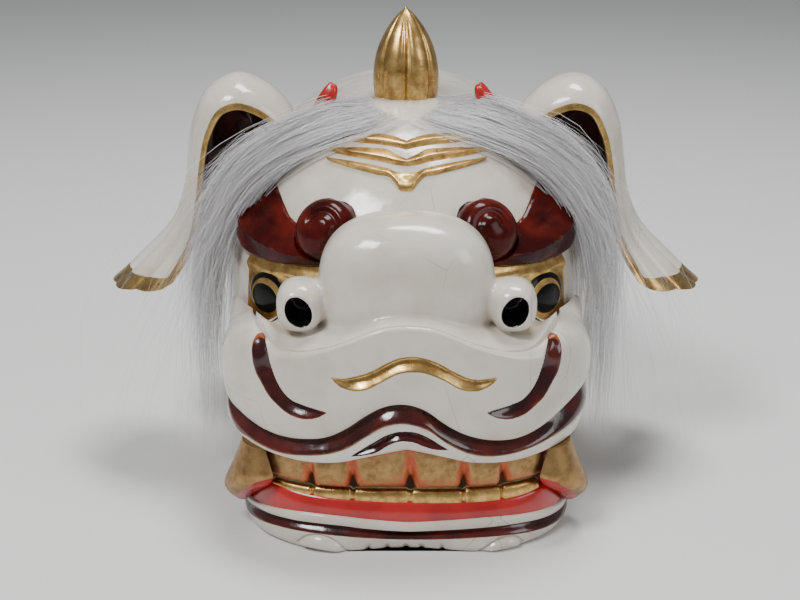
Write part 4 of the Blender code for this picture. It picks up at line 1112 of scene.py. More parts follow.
def relief(name, azimuths, lower, upper, lift, material, replaced, steps, values=None,
           side=1, base=-0.0008):
    """A raised field on the skull, lift and values given by functions of the angles."""
    share = np.linspace(0.0, 1.0, steps)[None, :]
    azimuth = np.broadcast_to(azimuths[:, None], (len(azimuths), steps))
    elevation = lower[:, None] + (upper - lower)[:, None] * share
    heights = lift(azimuth, elevation, share)
    outer = skull_point(azimuth, elevation, heights)
    back = np.linspace(1.0, 0.0, 4)[None, :]
    low = lower[:, None] + (upper - lower)[:, None] * back
    inner = skull_point(np.broadcast_to(azimuths[:, None], low.shape), low, base)
    rings = np.concatenate((outer, inner), axis=1)
    rings[..., 0] *= side
    made = {}
    for key, value in (values or {}).items():
        layer = value(azimuth, elevation, share)
        made[key] = np.concatenate((layer, np.broadcast_to(layer[:, -1:], low.shape)), axis=1)
    return closed_loft(name, rings, material, "head", replaced, values=made)


def curl_places(azimuth, elevation):
    """Distance and angle round the curl's centre, in degrees on the skull."""
    across = (azimuth - CURL_AZIMUTH) * math.cos(math.radians(CURL_ELEVATION))
    up = elevation - CURL_ELEVATION
    return np.hypot(across, up), np.arctan2(up, across)


def brow_lift(azimuth, elevation, share):
    ridge = read(BROW_SECTIONS, 3, azimuth)
    lower = read(BROW_SECTIONS, 1, azimuth)
    upper = read(BROW_SECTIONS, 2, azimuth)
    below = np.clip((elevation - lower) / (ridge - lower), 0, 1)
    above = np.clip((upper - elevation) / (upper - ridge), 0, 1)
    body = np.where(elevation < ridge, 0.30 + 0.70 * below ** 0.7,
                    0.12 + 0.88 * above ** 1.5)
    body = body * BROW_RELIEF * read(BROW_SECTIONS, 4, azimuth)
    groove = np.exp(-((elevation - ridge - 5.5) / 1.0) ** 2) * smooth(40, 48, azimuth)
    body = body - 0.0009 * groove
    radius, angle = curl_places(azimuth, elevation)
    dome = np.sqrt(np.maximum(1 - (radius / CURL_RADIUS) ** 2, 0.0)) ** 0.8
    turned = np.mod(angle + 0.7, 2 * np.pi) / (2 * np.pi)
    spiral = CURL_RADIUS * (0.26 + 0.40 * turned)
    groove = np.exp(-((radius - spiral) / 1.25) ** 2)
    groove = groove * smooth(0.0, 0.18, turned) * smooth(0.0, 0.35, 1 - turned)
    curl = CURL_RELIEF * (dome - 0.15 * groove)
    ends = smooth(0.0, 0.05, share) * smooth(0.0, 0.06, 1 - share)
    lift = np.where(radius < CURL_RADIUS, np.maximum(body * smooth(CURL_RADIUS * 0.8,
                    CURL_RADIUS * 1.15, radius), curl), body)
    lift = np.maximum(lift, 0.0006)
    return 0.0004 + lift * (0.25 + 0.75 * ends)


def make_brows(material):
    azimuths = np.linspace(16.2, 69.5, 150)
    lower = read(BROW_SECTIONS, 1, azimuths)
    upper = read(BROW_SECTIONS, 2, azimuths)

    # Lighter orange-brown along the ridge is a painted highlight; along the brow's edges it is wear
    def rub(azimuth, elevation, share):
        ridge = read(BROW_SECTIONS, 3, azimuth)
        near = np.minimum(np.abs(elevation - ridge) * 0.0006, 0.002)
        return np.minimum(near + 0.0006, 0.0005 + 0.01 * np.minimum(share, 1 - share) + 0 * azimuth)

    for side, word in SIDES:
        relief(f"brow_{word}_carved", azimuths, lower, upper, brow_lift, material,
               (f"brow_{word}",), 64, side=side,
               values={"maroon": lambda a, e, s: 0.01 + 0 * e, "rub": rub})


def make_sockets(material):
    azimuths = np.linspace(24.5, 55.0, 60)
    lower = read(SOCKET_SECTIONS, 1, azimuths)
    upper = read(SOCKET_SECTIONS, 2, azimuths)

    def lift(azimuth, elevation, share):
        across = (azimuth - EYE_AZIMUTH) * 0.0015
        up = (elevation - EYE_ELEVATION) * 0.0015
        gap = np.hypot(across / EYE_WIDE, up / EYE_TALL) / EYE_RADIUS
        bowl = 0.0010 * np.exp(-((gap - 1.25) / 0.35) ** 2)
        lid = 0.0014 * np.exp(-((elevation - 12.6 + (azimuth - 45) * 0.03) / 1.4) ** 2)
        return SOCKET_RELIEF + lid - bowl

    for side, word in SIDES:
        relief(f"eye_socket_{word}", azimuths, lower, upper, lift, material,
               (f"socket_{word}",), 36, side=side)


def make_eyes(material):
    """A low dome with a black ring, a gold ring and a black pupil."""
    rings = []
    black = []
    angle = circle(72)
    reach = math.degrees(EYE_RADIUS / SKULL_HALF)
    for share in np.linspace(0.0, 1.0, 30):
        across = np.cos(angle) * share
        up = np.sin(angle) * share
        azimuth = EYE_AZIMUTH + EYE_WIDE * reach * across
        elevation = EYE_ELEVATION + EYE_TALL * reach * up
        dome = 0.0026 * np.sqrt(np.maximum(1 - share ** 2 * 0.92, 0.0)) + SOCKET_RELIEF - 0.0006
        rings.append(skull_point(azimuth, elevation, dome))
        pupil = 0.62 - np.hypot((across - 0.02) * 0.90, up + 0.08)
        ring = np.hypot(across + 0.05, (up + 0.10) / 1.06) - 0.83
        black.append(np.maximum(pupil, ring) * EYE_RADIUS)
    foot = skull_point(EYE_AZIMUTH + EYE_WIDE * reach * np.cos(angle),
                       EYE_ELEVATION + EYE_TALL * reach * np.sin(angle), -0.0005)
    rings.append(foot)
    black.append(black[-1])
    rings = np.array(rings)
    for side, word in SIDES:
        mirrored = rings * (side, 1, 1)
        closed_loft(f"eye_{word}", mirrored, material, "head", (f"pupil_{word}",),
                    values={"gold": -np.array(black)})


def make_forehead_lines(material):
    for number, sections in enumerate(FOREHEAD_LINES, 1):
        limit = sections[-1][0]
        azimuths = np.linspace(-limit, limit, 181)
        middle = read(sections, 1, np.abs(azimuths))
        half = read(sections, 2, np.abs(azimuths))

        def lift(azimuth, elevation, share, last=number == 3):
            ridge = np.minimum(share / 0.30, (1 - share) / 0.70)
            height = LINE_RELIEF * np.clip(ridge, 0, 1) ** 0.7
            if last:
                gap = np.hypot(azimuth * 0.75, elevation - 44.6) / 1.9
                height = height * (1 - 0.75 * np.exp(-gap ** 2))
            return 0.0002 + height

        relief(f"forehead_band_{number}", azimuths, middle - half, middle + half, lift, material,
               (f"forehead_line_{number}",), 15)


# Horn

def make_horn(material):
    angle = circle(144)
    front = np.degrees(np.minimum(angle, 2 * np.pi - angle))
    mirror = np.minimum(front, 180 - front)
    form = np.ones(len(angle))
    for middle, width, height in HORN_FLUTES:
        form = form + height * np.exp(-((mirror - middle) / width) ** 2)
    rings = []
    for share in (0.1, 0.4, 0.7):
        x = HORN_HALF * share * np.sin(angle)
        y = HORN_Y - HORN_HALF * share * np.cos(angle)
        rings.append(np.stack((x, y, skull_height(x, y, -0.0006)), -1))
    for share in np.linspace(0.0, 1.0, 60) ** 0.9:
        radius = HORN_HALF * float(read(HORN_SECTIONS, 1, share))
        keep = 1 - 0.5 * float(smooth(0.8, 1.0, share))
        out = radius * (1 + (form - 1) * keep)
        x = out * np.sin(angle)
        y = HORN_Y - out * np.cos(angle)
        base = skull_height(x, y, -0.0004)
        z = base + (HORN_TOP - 0.0012 - base) * share
        rings.append(np.stack((x, y, z), -1))
    tip = np.stack((0 * angle, HORN_Y + 0 * angle, HORN_TOP + 0 * angle), -1)
    tip += np.stack((np.sin(angle), -np.cos(angle), 0 * angle), -1) * 0.0003
    rings.append(tip)
    return closed_loft("horn_ribbed", np.array(rings), material, "head", ("horn",))


# Ears

def ear_row(share, angle, wall):
    """Places across the ear at a share of its length; angle 0 is its back ridge."""
    reach = EAR_REACH * by_row(EAR_SECTIONS, 0, share)
    level = EAR_TOP * by_row(EAR_SECTIONS, 1, share)
    lean = np.radians(by_row(EAR_SECTIONS, 2, share))
    half = EAR_HALF * by_row(EAR_SECTIONS, 3, share)
    curl = EAR_CURL * by_row(EAR_SECTIONS, 4, share)
    side = (half - wall * 0.9) * np.sin(angle)
    sink = wall + (curl - wall) * (1 - np.cos(angle))
    skirt = EAR_SKIRT * smooth(0.03, 0.16, share) * (1 - smooth(0.52, 0.84, share))
    sink = sink + skirt * smooth(0.45, 1.0, np.sin(angle))
    x = reach - np.sin(lean) * sink
    z = level - np.cos(lean) * sink
    y = EAR_Y + side
    scallop = 0.0026 * np.abs(np.cos(angle * 5)) * smooth(0.9, 1.0, share)
    z = z + curl * 0.16 * smooth(0.75, 1.0, share) * (1 - np.cos(angle)) - scallop
    return np.stack(np.broadcast_arrays(x, y, z), -1)


def make_ears(material):
    rows = 150
    out_angles = np.linspace(-np.pi / 2, np.pi / 2, 67)
    in_angles = np.linspace(np.pi / 2, -np.pi / 2, 19)
    rings = []
    gold = []
    maroon = []
    for i in range(rows):
        share = i / (rows - 1)
        outer = ear_row(share, out_angles, 0.0)
        ahead = ear_row(min(share + 0.004, 1.0), out_angles, 0.0)
        behind = ear_row(max(share - 0.004, 0.0), out_angles, 0.0)
        along = ahead - behind
        across = np.gradient(outer, axis=0)
        normal = np.cross(along, across)
        normal /= np.maximum(np.linalg.norm(normal, axis=1), 1e-12)[:, None]
        flute = np.abs(np.sin(out_angles * 5 + np.pi / 2)) ** 0.6
        depth = 0.0036 * smooth(0.42, 0.92, share) * (1 - flute)
        depth = depth * (np.abs(out_angles) < 1.45)
        inner = ear_row(share, in_angles, EAR_WALL)
        centre = inner.mean(0)
        inward = np.sign(((centre - outer) * normal).sum(1).mean())
        outer = outer + inward * normal * depth[:, None]
        rim_front = (outer[-1] + inner[0]) / 2 + (outer[-1] - outer[-2]) * 0.6
        rim_back = (outer[0] + inner[-1]) / 2 + (outer[0] - outer[1]) * 0.6
        ring = np.vstack((outer, rim_front[None], inner, rim_back[None]))
        if i == 0:
            ring[:, 2] = skull_height(ring[:, 0], ring[:, 1], -0.001)
        rings.append(ring)
        half = EAR_HALF * float(by_row(EAR_SECTIONS, 3, share))
        from_edge = (np.pi / 2 - np.abs(out_angles)) * half
        from_end = (1 - share) * 0.155
        band = 0.0072 - from_end
        line = 0.0046 + 0.0010 * smooth(0.62, 0.85, share) - from_edge
        outer_gold = np.maximum(line, band)
        inner_edge = (np.pi / 2 - np.abs(in_angles)) * half
        inner_gold = np.maximum(0.0062 - inner_edge, 0.0030 - from_end)
        gold.append(np.concatenate((outer_gold, [0.004], inner_gold, [0.004])))
        maroon.append(np.concatenate((outer_gold * 0 - 0.004, [-0.004], -inner_gold, [-0.004])))
    rings = np.array(rings)
    # The maroon turns lighter orange-brown along its border with the gold
    values = {"gold": np.array(gold), "maroon": np.array(maroon), "rub": np.abs(np.array(gold))}
    for side, word in SIDES:
        closed_loft(f"ear_{word}_carved", rings * (side, 1, 1), material, "head",
                    (f"ear_{word}",), values=values)


def make_ear_tabs(material):
    """Small leaves in front of the ears' roots, leaning towards the horn."""
    angle = circle(40)
    low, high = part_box("ear_tab_right")
    foot = (low.x + high.x) / 2 + 0.0085
    height = high.z - low.z + 0.002
    for side, word in SIDES:
        rings = []
        for share in np.linspace(0.0, 1.0, 30):
            scale = math.sqrt(max(1 - share ** 2.6, 0.015))
            crease = 1 - 0.16 * np.exp(-((np.abs(np.cos(angle)) - 0.35) / 0.12) ** 2)
            x = foot + 0.0066 * scale * np.cos(angle) * crease - 0.0090 * share
            y = EAR_Y - 0.008 + 0.0052 * scale * np.sin(angle) * crease
            base = skull_height(x, y, -0.0005)
            z = base + height * share * (1 + 0.05 * np.cos(angle))
            rings.append(np.stack((side * x, y, z), -1))
        closed_loft(f"ear_root_{word}", np.array(rings), material, "head",
                    (f"ear_tab_{word}",))


# Teeth and tusks

def tooth_form(x, notches):
    """0 at a notch between teeth and 1 at a tooth's middle, and each tooth's own number."""
    edges = np.array(notches) * CM
    i = np.clip(np.searchsorted(edges, x) - 1, 0, len(edges) - 2)
    share = (x - edges[i]) / (edges[i + 1] - edges[i])
    return np.clip(2 * np.minimum(share, 1 - share), 0, 1), i


def tooth_columns(notches, shape, count):
    """Columns along a plan, evenly apart in x from the first notch to the last."""
    turns, _ = even_turns(2001, 90.0, shape)
    wanted = np.linspace(notches[0] * CM, notches[-1] * CM, count)
    return plan(np.interp(wanted, plan(turns, *shape)[0], turns), *shape)


def make_upper_teeth(material):
    x, y, nx, ny = tooth_columns(UPPER_NOTCHES, MUZZLE_PLAN, 321)
    form, number = tooth_form(x, UPPER_NOTCHES)
    top = LIP_LOW * read(MUZZLE_SECTIONS, 2, muzzle_share(x)) + 0.0008
    block = smooth(0.0, 0.34, form)
    low = 0.0306 + 0.0044 * (1 - smooth(0.0, 0.20, form)) - 0.0004 * np.sin(number * 2.3)
    rows = []
    red = []
    for share in np.linspace(0.0, 1.0, 26):
        z = top + (low - top) * share
        inset = 0.0034 + 0.0024 * (1 - block) * (0.45 + 0.55 * share)
        inset = inset + 0.0016 * smooth(0.85, 1.0, share) ** 2 - 0.0009 * np.sin(np.pi * share)
        rows.append((x + nx * inset, y + ny * inset, z))
        red.append(0.0014 - 0.0056 * smooth(0.02, 0.45, form) + 0.0054 * share ** 1.5)
    for share in np.linspace(0.35, 1.0, 3):
        inset = 0.0050 + 0.0034 * share
        rows.append((x + nx * inset, y + ny * inset, low + 0.0004))
        red.append(0.001 + 0 * x)
    for share in (0.5, 1.0):
        inset = 0.0084
        rows.append((x + nx * inset, y + ny * inset, low + (top - low) * share))
        red.append(0.001 + 0 * x)
    rings = np.array(rows).transpose(2, 0, 1)
    return closed_loft("upper_teeth_carved", rings, material, "head", ("upper_teeth",),
                       values={"bole": np.array(red).T})


def jaw_heights(x, column):
    return read(JAW_LINES, column, x / CM) * CM


def make_lower_teeth(material):
    x, y, nx, ny = tooth_columns(LOWER_NOTCHES, JAW_PLAN, 281)
    form, number = tooth_form(x, LOWER_NOTCHES)
    gum = jaw_heights(x, 4) - 0.0010
    high = 0.0287 + 0.0004 * np.sin(number * 1.7) - 0.0009 * (1 - smooth(0.0, 0.16, form))
    rows = []
    for share in np.linspace(0.0, 1.0, 16):
        z = gum + (high - gum) * share
        inset = 0.0034 + 0.0009 * (1 - smooth(0.0, 0.14, form)) + 0.0012 * share
        inset = inset - 0.0006 * np.sin(np.pi * share) + 0.0010 * smooth(0.8, 1.0, share) ** 2
        rows.append((x + nx * inset, y + ny * inset, z))
    for share in (0.5, 1.0):
        inset = 0.0054 + 0.0026 * share
        rows.append((x + nx * inset, y + ny * inset, high - 0.0004 * share))
    rows.append((x + nx * 0.0080, y + ny * 0.0080, gum))
    rings = np.array(rows).transpose(2, 0, 1)
    return closed_loft("lower_teeth_carved", rings, material, "jaw", ("lower_teeth",))


def make_tusks(material):
    for side, word in SIDES:
        rings = []
        red = []
        for share in np.linspace(0.0, 1.0, 44):
            start = float(read(TUSK_SECTIONS, 1, share))
            end = float(read(TUSK_SECTIONS, 2, share))
            bulge = 0.0098 * float(read(TUSK_SECTIONS, 3, share))
            t = np.linspace(0.0, 1.0, 41)
            x, y, nx, ny = plan(start + (end - start) * t, *JAW_PLAN)
            high = LIP_LOW * read(MUZZLE_SECTIONS, 2, muzzle_share(x)) + 0.0006
            z = 0.0105 + (high - 0.0105) * share
            out = SEAT + bulge * np.sin(np.pi * t) ** 0.62
            outer = np.stack((x - nx * out, y - ny * out, z), -1)
            keep = slice(None, None, -5)
            inner = np.stack((x - nx * SEAT, y - ny * SEAT, z), -1)[keep][1:-1]
            ring = np.vstack((outer, inner)) * (side, 1, 1)
            rings.append(ring)
            edge = 0.0030 - t * 0.018 + 0.0010 * (1 - smooth(0.0, 0.25, share))
            edge = edge - 0.006 * smooth(0.56, 0.72, share)
            red.append(np.concatenate((edge, np.full(len(inner), 0.001))))
        closed_loft(f"tusk_{word}_carved", np.array(rings), material, "head",
                    (f"tusk_{word}",), values={"vermilion": np.array(red)})


# Lower jaw

def jaw_columns():
    turns, run = even_turns(421, 90.0, JAW_PLAN)
    x, y, nx, ny = plan(turns, *JAW_PLAN)
    side_y = np.linspace(y[-1], JAW_BACK, 60)[1:]
    depth = side_y - LIP_Y
    tops = read(((0.0820, 0.0150),) + JAW_SIDES, 1, depth)
    count = len(side_y)
    x = np.concatenate((np.full(count, -JAW_HALF), x, np.full(count, JAW_HALF)))
    front_y = y
    y = np.concatenate((side_y[::-1], y, side_y))
    nx = np.concatenate((np.ones(count), nx, -np.ones(count)))
    ny = np.concatenate((np.zeros(count), ny, np.zeros(count)))
    steps = side_y - front_y[-1]
    run = np.concatenate((run[0] - steps[::-1], run, run[-1] + steps))
    top = np.concatenate((tops[::-1], jaw_heights(x[count:-count], 3), tops))
    front = np.concatenate((np.zeros(count), np.ones(len(turns)), np.zeros(count)))
    fade = smooth(0.0, 0.010, front_y[-1] + 0.004 - y)
    return x, y, nx, ny, run, top, front, fade


def make_jaw(material):
    x, y, nx, ny, run, top, front, fade = jaw_columns()
    chin = jaw_heights(x, 1)
    cut_top = jaw_heights(x, 2)
    line_top = np.where(front > 0, jaw_heights(x, 3), top)
    middle = np.exp(-(x / 0.016) ** 2) * 0.0022
    middle = middle - np.exp(-((np.abs(x) - 0.035) / 0.015) ** 2) * 0.0022
    rows = []
    maroon = []
    rub = []
    inset = 0.0034 + middle
    rows.append((x + nx * inset, y + ny * inset, 0 * x))
    maroon.append(NO_PAINT + 0 * x)
    rub.append(0.01 + 0 * x)
    for share in np.linspace(0.04, 1.0, 30):
        z = chin * share
        inset = (0.0012 + middle) * (1 - share) ** 1.3 + 0.0022 * (1 - share) ** 5
        rows.append((x + nx * inset, y + ny * inset, z))
        maroon.append(-(1.02 - share) * chin)
        rub.append(0.01 + 0 * x)
    for share in np.linspace(0.05, 0.95, 15):
        z = chin + (cut_top - chin) * share
        inset = 0.0026 * np.minimum(smooth(0, 0.75, share), smooth(0, 0.2, 1 - share)) * fade
        rows.append((x + nx * inset, y + ny * inset, z))
        band = np.minimum(share, 1 - share) * (cut_top - chin) + 0.0001
        maroon.append(np.where(fade > 0.02, band, -0.002))
        # Along the channel's lower edge the maroon turns lighter orange-brown: partly wear, partly
        # painted highlight
        rub.append(share * (cut_top - chin))
    for share in np.linspace(0.0, 1.0, 13):
        z = cut_top + (line_top - cut_top) * share
        bead = 0.0003 * np.sin(np.pi * share) - 0.0008 * smooth(0.8, 1.0, share) ** 2
        rows.append((x - nx * bead, y - ny * bead, z))
        maroon.append(-(share + 0.02) * (line_top - cut_top))
        rub.append(0.01 + 0 * x)
    outer = np.array(rows).transpose(2, 0, 1)
    shape = outer.shape[:2]
    flat = np.column_stack((np.repeat(run, shape[1]), outer[:, :, 2].ravel()))
    carve = np.zeros(len(flat))
    chin_zone = np.tile(np.arange(shape[1]) <= 30, shape[0])
    order = np.argsort(x[front > 0], kind="stable")
    front_x = x[front > 0][order]
    front_run = run[front > 0][order]
    for swirl in CHIN_SWIRLS:
        places = np.array(swirl) * CM
        line = curve(np.column_stack((np.interp(places[:, 0], front_x, front_run), places[:, 1])))
        gap = line_distance(flat, line)
        below = within(flat, line)
        carve += 0.0010 * np.exp(-(gap / 0.00055) ** 2)
        carve -= np.where(below, 0.0016 * smooth(0.0, 0.003, gap), 0.0)
    for place in CHIN_FLUTES:
        centre = np.interp(place * CM, front_x, front_run)
        lean = (flat[:, 0] - centre) - place * 0.10 * (0.006 - flat[:, 1])
        height = smooth(0.0056, 0.0022, flat[:, 1])
        carve += 0.0014 * np.exp(-(lean / 0.0010) ** 2) * height
    carve = np.where(chin_zone, carve, 0.0).reshape(shape)
    outer[:, :, 0] += carve * nx[:, None]
    outer[:, :, 1] += carve * ny[:, None]
    back = []
    for share in (0.4, 1.0):
        inset = JAW_WALL * share
        back.append((x + nx * inset, y + ny * inset, line_top + 0 * x))
    for share in (0.6, 0.3, 0.0):
        back.append((x + nx * JAW_WALL, y + ny * JAW_WALL,
                     JAW_FLOOR + (line_top - JAW_FLOOR) * share))
    wall = np.concatenate((outer, np.array(back).transpose(2, 0, 1)), axis=1)
    size = wall.shape[1]
    columns = wall.shape[0]
    i, j = np.meshgrid(np.arange(columns - 1), np.arange(size - 1), indexing="ij")
    faces = np.stack((i * size + j, i * size + j + 1, (i + 1) * size + j + 1,
                      (i + 1) * size + j), -1).reshape(-1, 4)
    points = wall.reshape(-1, 3)
    faces = faces[:, ::-1].tolist()
    half = columns // 2
    for k in range(half):
        other = columns - 1 - k
        if other - k < 2:
            continue
        low = [k * size, (k + 1) * size, (other - 1) * size, other * size]
        floor = [(k + 1) * size - 1, (k + 2) * size - 1, other * size - 1, (other + 1) * size - 1]
        if other - k == 2:
            low = [k * size, (k + 1) * size, other * size]
            floor = [(k + 1) * size - 1, (k + 2) * size - 1, (other + 1) * size - 1]
        faces.append(low)
        faces.append(floor[::-1])
    last = (columns - 1) * size
    faces.append(list(range(size)) + list(range(last + size - 1, last - 1, -1)))
    inner = np.full((columns, len(back)), NO_PAINT)
    wood = np.full((columns, size), -0.001)
    wood[:, -4:] = 0.001
    values = {
        "maroon": np.concatenate((np.array(maroon).T, inner), axis=1),
        "rub": np.concatenate((np.array(rub).T, -inner), axis=1),
        "wood": wood,
    }
    if not facing_out(points, faces):
        faces = [list(reversed(f)) for f in faces]
    return piece("jaw_carved", points, faces, material, "jaw", ("jaw",),
                 values=values)


def make_gum(material):
    turns, _ = even_turns(361, 84.0, JAW_PLAN)
    x, y, nx, ny = plan(turns, *JAW_PLAN)
    low = jaw_heights(x, 3) - 0.0006
    high = jaw_heights(x, 4) + 0.0006
    end = smooth(0.0, 0.020, 0.0755 - np.abs(x))
    rows = []
    for share in np.linspace(0.0, 1.0, 18):
        z = low + (high - low) * share
        inset = 0.0010 + 0.0022 * share + 0.0010 * smooth(0.85, 1.0, share) ** 2
        inset = inset - 0.0007 * np.sin(np.pi * share) * end
        rows.append((x + nx * inset, y + ny * inset, z))
    for share in (0.5, 1.0):
        inset = 0.0040 + 0.0042 * share
        rows.append((x + nx * inset, y + ny * inset, high))
    rows.append((x + nx * 0.0082, y + ny * 0.0082, low))
    rings = np.array(rows).transpose(2, 0, 1)
    return closed_loft("gum_carved", rings, material, "jaw", ("gum",))


def make_rod(material):
    """The pin on which the jaw turns, with its ends just proud of the walls."""
    angle = circle(48)
    low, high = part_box("hinge_rod")
    radius = (high.z - low.z) / 2
    y = (low.y + high.y) / 2
    z = (low.z + high.z) / 2
    half = high.x + PIN_PROUD
    shoulder = half - PIN_BEVEL
    rings = []
    for x, share in ((-half, 0.80), (-shoulder, 1.0), (shoulder, 1.0), (half, 0.80)):
        rings.append(np.stack((x + 0 * angle, y + radius * share * np.cos(angle),
                               z + radius * share * np.sin(angle)), -1))
    return closed_loft("hinge_pin", np.array(rings), material, "head", ("hinge_rod",),
                       angle=30.0)


# Hair

def strand_paths(random, count, rows, locks, frizz, loose):
    """Middle lines of hairs on the right side, gathered into locks towards their ends."""
    lock = random.integers(0, locks, count)
    lock_place = np.linspace(-0.02, 1.02, locks) + random.normal(0.0, 0.03, locks)
    lock_length = np.where(random.random(locks) < 0.7, random.uniform(0.90, 1.04, locks),
                           random.uniform(0.60, 0.92, locks))
    lock_swing = random.normal(0.0, 0.13, locks)
    lock_depth = random.uniform(0.25, 1.0, locks)
    length = lock_length[lock] * random.uniform(0.80, 1.06, count)
    start = random.uniform(0.0, 0.12, count)
    share = np.linspace(0.0, 1.0, rows)[None, :]
    along = start[:, None] + (length - start)[:, None] * share
    cells = [by_row(HAIR_SECTIONS, k, np.minimum(along, 1.0)) for k in range(6)]
    gather = 1 - 0.72 * smooth(0.05, 0.75, along)
    stray = random.random(count) < loose
    off = np.where(stray, random.normal(0.0, 0.26, count), random.normal(0.0, 0.055, count))
    gather = np.where(stray[:, None], 1.0, gather)
    place = lock_place[lock][:, None] + off[:, None] * gather
    place = place + lock_swing[lock][:, None] * along ** 2
    place = np.clip(place, -0.35, 1.35)
    azimuth = cells[0] + (cells[3] - cells[0]) * place
    elevation = cells[1] + (cells[4] - cells[1]) * place
    level = np.clip(lock_depth[lock] + random.normal(0.0, 0.14, count), 0.08, 1.05)[:, None]
    lift = HAIR_LIFT * (cells[2] + (cells[5] - cells[2]) * place) * level
    lift = lift * smooth(-0.02, 0.18, along - start[:, None] * 0.5) + 0.0005
    elevation = elevation - np.maximum(along - 1.0, 0.0) * 80.0
    wave = np.zeros((count, rows, 3))
    for turns in (0.9, 1.9, 3.7):
        phase = random.uniform(0, 2 * np.pi, (count, 1, 3))
        size = random.normal(0.0, frizz / turns, (count, 1, 3))
        wave += size * np.sin(phase + 2 * np.pi * turns * share[:, :, None]) * share[:, :, None]
    paths = skull_point(azimuth, elevation, lift) + wave
    return keep_outside(paths)


def keep_outside(paths):
    """Lifts hairs that waver into the skull back onto it."""
    measure = np.sqrt(skull_measure(paths[..., 0], paths[..., 1], paths[..., 2]))
    push = np.maximum(1.005 - measure, 0.0)[..., None]
    centre = np.array((0.0, SKULL_Y, SKULL_LEVEL))
    return paths + (paths - centre) * push * (paths[..., 2:] > SKULL_LEVEL)


def wisp_paths(random, count, rows):
    """Stray hairs that leave the mass and hang or fly out by themselves."""
    base = strand_paths(random, count, rows, 40, 0.0022, 0.8)
    share = np.linspace(0.0, 1.0, rows)[None, :]
    leave = random.uniform(0.35, 0.80, count)[:, None]
    away = np.maximum(share - leave, 0.0)
    out = random.normal(0.018, 0.026, count)[:, None]
    ahead = random.normal(-0.008, 0.020, count)[:, None]
    fall = random.uniform(0.0, 0.110, count)[:, None]
    base[:, :, 0] += out * away ** 1.3 * 1.7
    base[:, :, 1] += ahead * away ** 1.3 * 1.7
    base[:, :, 2] -= fall * away ** 1.5
    base[:, :, 0] = np.minimum(base[:, :, 0], HAIR_REACH)
    base[:, :, 2] = np.maximum(base[:, :, 2], HAIR_LOW)
    return base


def tubes(paths, radius, sides=3):
    """Thin tapering tubes along many lines."""
    count, rows, _ = paths.shape
    along = np.gradient(paths, axis=1)
    along /= np.maximum(np.linalg.norm(along, axis=2, keepdims=True), 1e-9)
    out = paths - np.array((0.0, SKULL_Y, 0.08))
    first = np.cross(along, out)
    first /= np.maximum(np.linalg.norm(first, axis=2, keepdims=True), 1e-9)
    second = np.cross(along, first)
    share = np.linspace(0.0, 1.0, rows)[None, :]
    size = radius[:, None] * np.clip(1.15 - share ** 2.2, 0.12, 1.0)
    rings = []
    for k in range(sides):
        angle = 2 * np.pi * k / sides
        rings.append(paths + (first * math.cos(angle) + second * math.sin(angle))
                     * size[:, :, None])
    points = np.stack(rings, axis=2)
    c, i, j = np.meshgrid(np.arange(count), np.arange(rows - 1), np.arange(sides), indexing="ij")
    k = (j + 1) % sides
    base = c * rows * sides
    faces = np.stack((base + i * sides + j, base + i * sides + k,
                      base + (i + 1) * sides + k, base + (i + 1) * sides + j), -1)
    faces = faces.reshape(-1, 4).tolist()
    starts = np.arange(count) * rows * sides
    faces += np.stack([starts + n for n in range(sides)][::-1], 1).tolist()
    ends = starts + (rows - 1) * sides
    faces += np.stack([ends + n for n in range(sides)], 1).tolist()
    return points.reshape(-1, 3), faces


def make_hair(material):
    for side, word in SIDES:
        random = np.random.default_rng(HAIR_SEED + side)
        lean = HAIR_LEAN[word]
        for name, count, rows, thin, replaced in (
                ("hair_strands", 1250, 15, 0.00005, (f"hair_{word}",)),
                ("stray_hairs", 240, 22, 0.00006, ())):
            if replaced:
                paths = strand_paths(random, count, rows, 34, 0.0019, 0.34)
            else:
                paths = wisp_paths(random, count, rows)
            paths[:, :, 0] += lean * smooth(0.6, 1.0, np.linspace(0.0, 1.0, rows))
            radius = random.uniform(thin, 0.00010, count)
            shade = np.repeat(random.beta(2.0, 1.6, count), rows * 3)
            points, faces = tubes(paths, radius)
            if side < 0:
                faces = [list(reversed(f)) for f in faces]
            piece(f"{name}_{word}", points * (side, 1, 1), faces, material, "head", replaced,
                  values={"shade": shade}, angle=180.0)


# Floor, light and camera

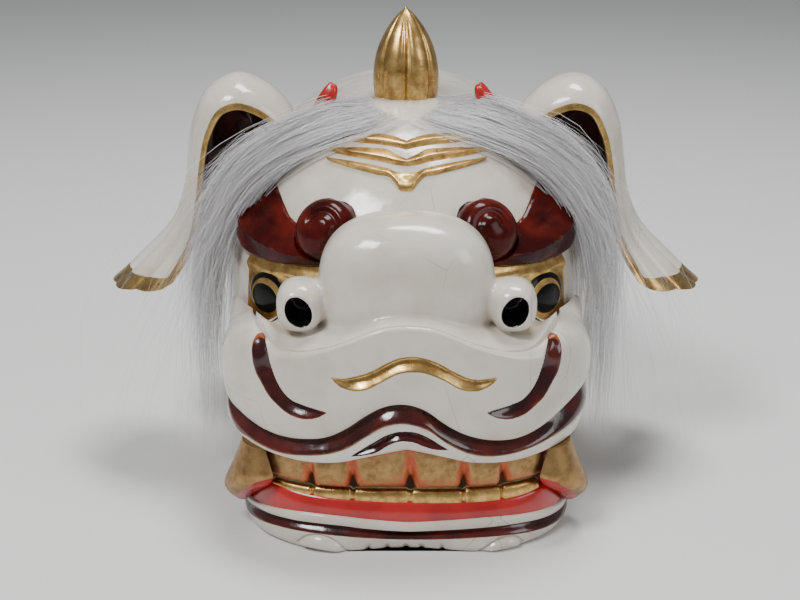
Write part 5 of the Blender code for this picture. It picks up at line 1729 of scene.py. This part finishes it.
def make_stage():
    mesh = bpy.data.meshes.new("floor")
    reach = 3.0
    mesh.from_pydata([(-reach, -reach, 0), (reach, -reach, 0), (reach, reach, 0),
                      (-reach, reach, 0)], [], [(0, 1, 2, 3)])
    floor = bpy.data.objects.new("floor", mesh)
    bpy.context.collection.objects.link(floor)
    material = bpy.data.materials.new("pale_floor")
    material.use_nodes = True
    shader = material.node_tree.nodes["Principled BSDF"]
    shader.inputs["Base Color"].default_value = (0.72, 0.72, 0.71, 1.0)
    shader.inputs["Roughness"].default_value = 0.7
    mesh.materials.append(material)
    for name, place, aim, size, power in (
            ("key_light", (-0.60, -0.70, 1.30), (0.0, -0.03, 0.10), (0.50, 0.35), 17.0),
            ("fill_light", (1.10, -0.70, 0.75), (0.0, 0.0, 0.10), (0.60, 0.60), 4.0),
            ("top_light", (0.15, 0.20, 1.35), (0.0, 0.0, 0.12), (0.60, 0.30), 14.0)):
        light = bpy.data.lights.new(name, "AREA")
        light.shape = "RECTANGLE"
        light.size, light.size_y = size
        light.energy = power
        item = bpy.data.objects.new(name, light)
        item.location = place
        run = np.array(aim) - np.array(place)
        flat = math.hypot(run[0], run[1])
        item.rotation_euler = (math.atan2(flat, -run[2]), 0.0, math.atan2(-run[0], run[1]))
        bpy.context.collection.objects.link(item)
    world = bpy.data.worlds.new("studio")
    bpy.context.scene.world = world
    world.use_nodes = True
    background = world.node_tree.nodes["Background"]
    background.inputs["Color"].default_value = (0.80, 0.82, 0.85, 1.0)
    background.inputs["Strength"].default_value = 0.30


FOCAL_PIXELS = 1300.0
PICTURE_WIDTH = 800.0


def make_camera():
    """The photo's view: 20 degrees down, from just in front of the lip."""
    camera = bpy.data.cameras.new("camera")
    camera.sensor_width = 36.0
    camera.lens = FOCAL_PIXELS / PICTURE_WIDTH * camera.sensor_width
    item = bpy.data.objects.new("camera", camera)
    item.location = (-0.0028, LIP_Y - 0.488, 0.295)
    item.rotation_euler = (math.radians(70.0), 0.0, 0.0)
    bpy.context.collection.objects.link(item)
    bpy.context.scene.camera = item


make_camera()
white = finish("white_lacquer", "white", ("maroon", "gold", "wood", "vermilion", "black"))
maroon = finish("maroon_lacquer", "maroon", ("maroon",))
gold = finish("gold_leaf", "gold")
black = finish("black_lacquer", "black", ("gold",))
# The upper teeth and tusks take the darker gold, painted shade under the lip
shade_darkened_gold = finish("shade_darkened_gold_leaf", "shade_darkened_gold", ("bole", "vermilion"))
vermilion = finish("vermilion_lacquer", "vermilion")
wood = finish("plain_wood", "wood")
make_skull(white)
make_muzzle(white)
make_upper_lip(white)
make_nose(white)
make_brows(maroon)
make_sockets(gold)
make_eyes(black)
make_forehead_lines(gold)
make_horn(gold)
make_ears(white)
make_ear_tabs(vermilion)
make_upper_teeth(shade_darkened_gold)
make_lower_teeth(gold)
make_tusks(shade_darkened_gold)
make_jaw(white)
make_gum(vermilion)
make_rod(wood)
make_hair(hair_finish())
make_stage()
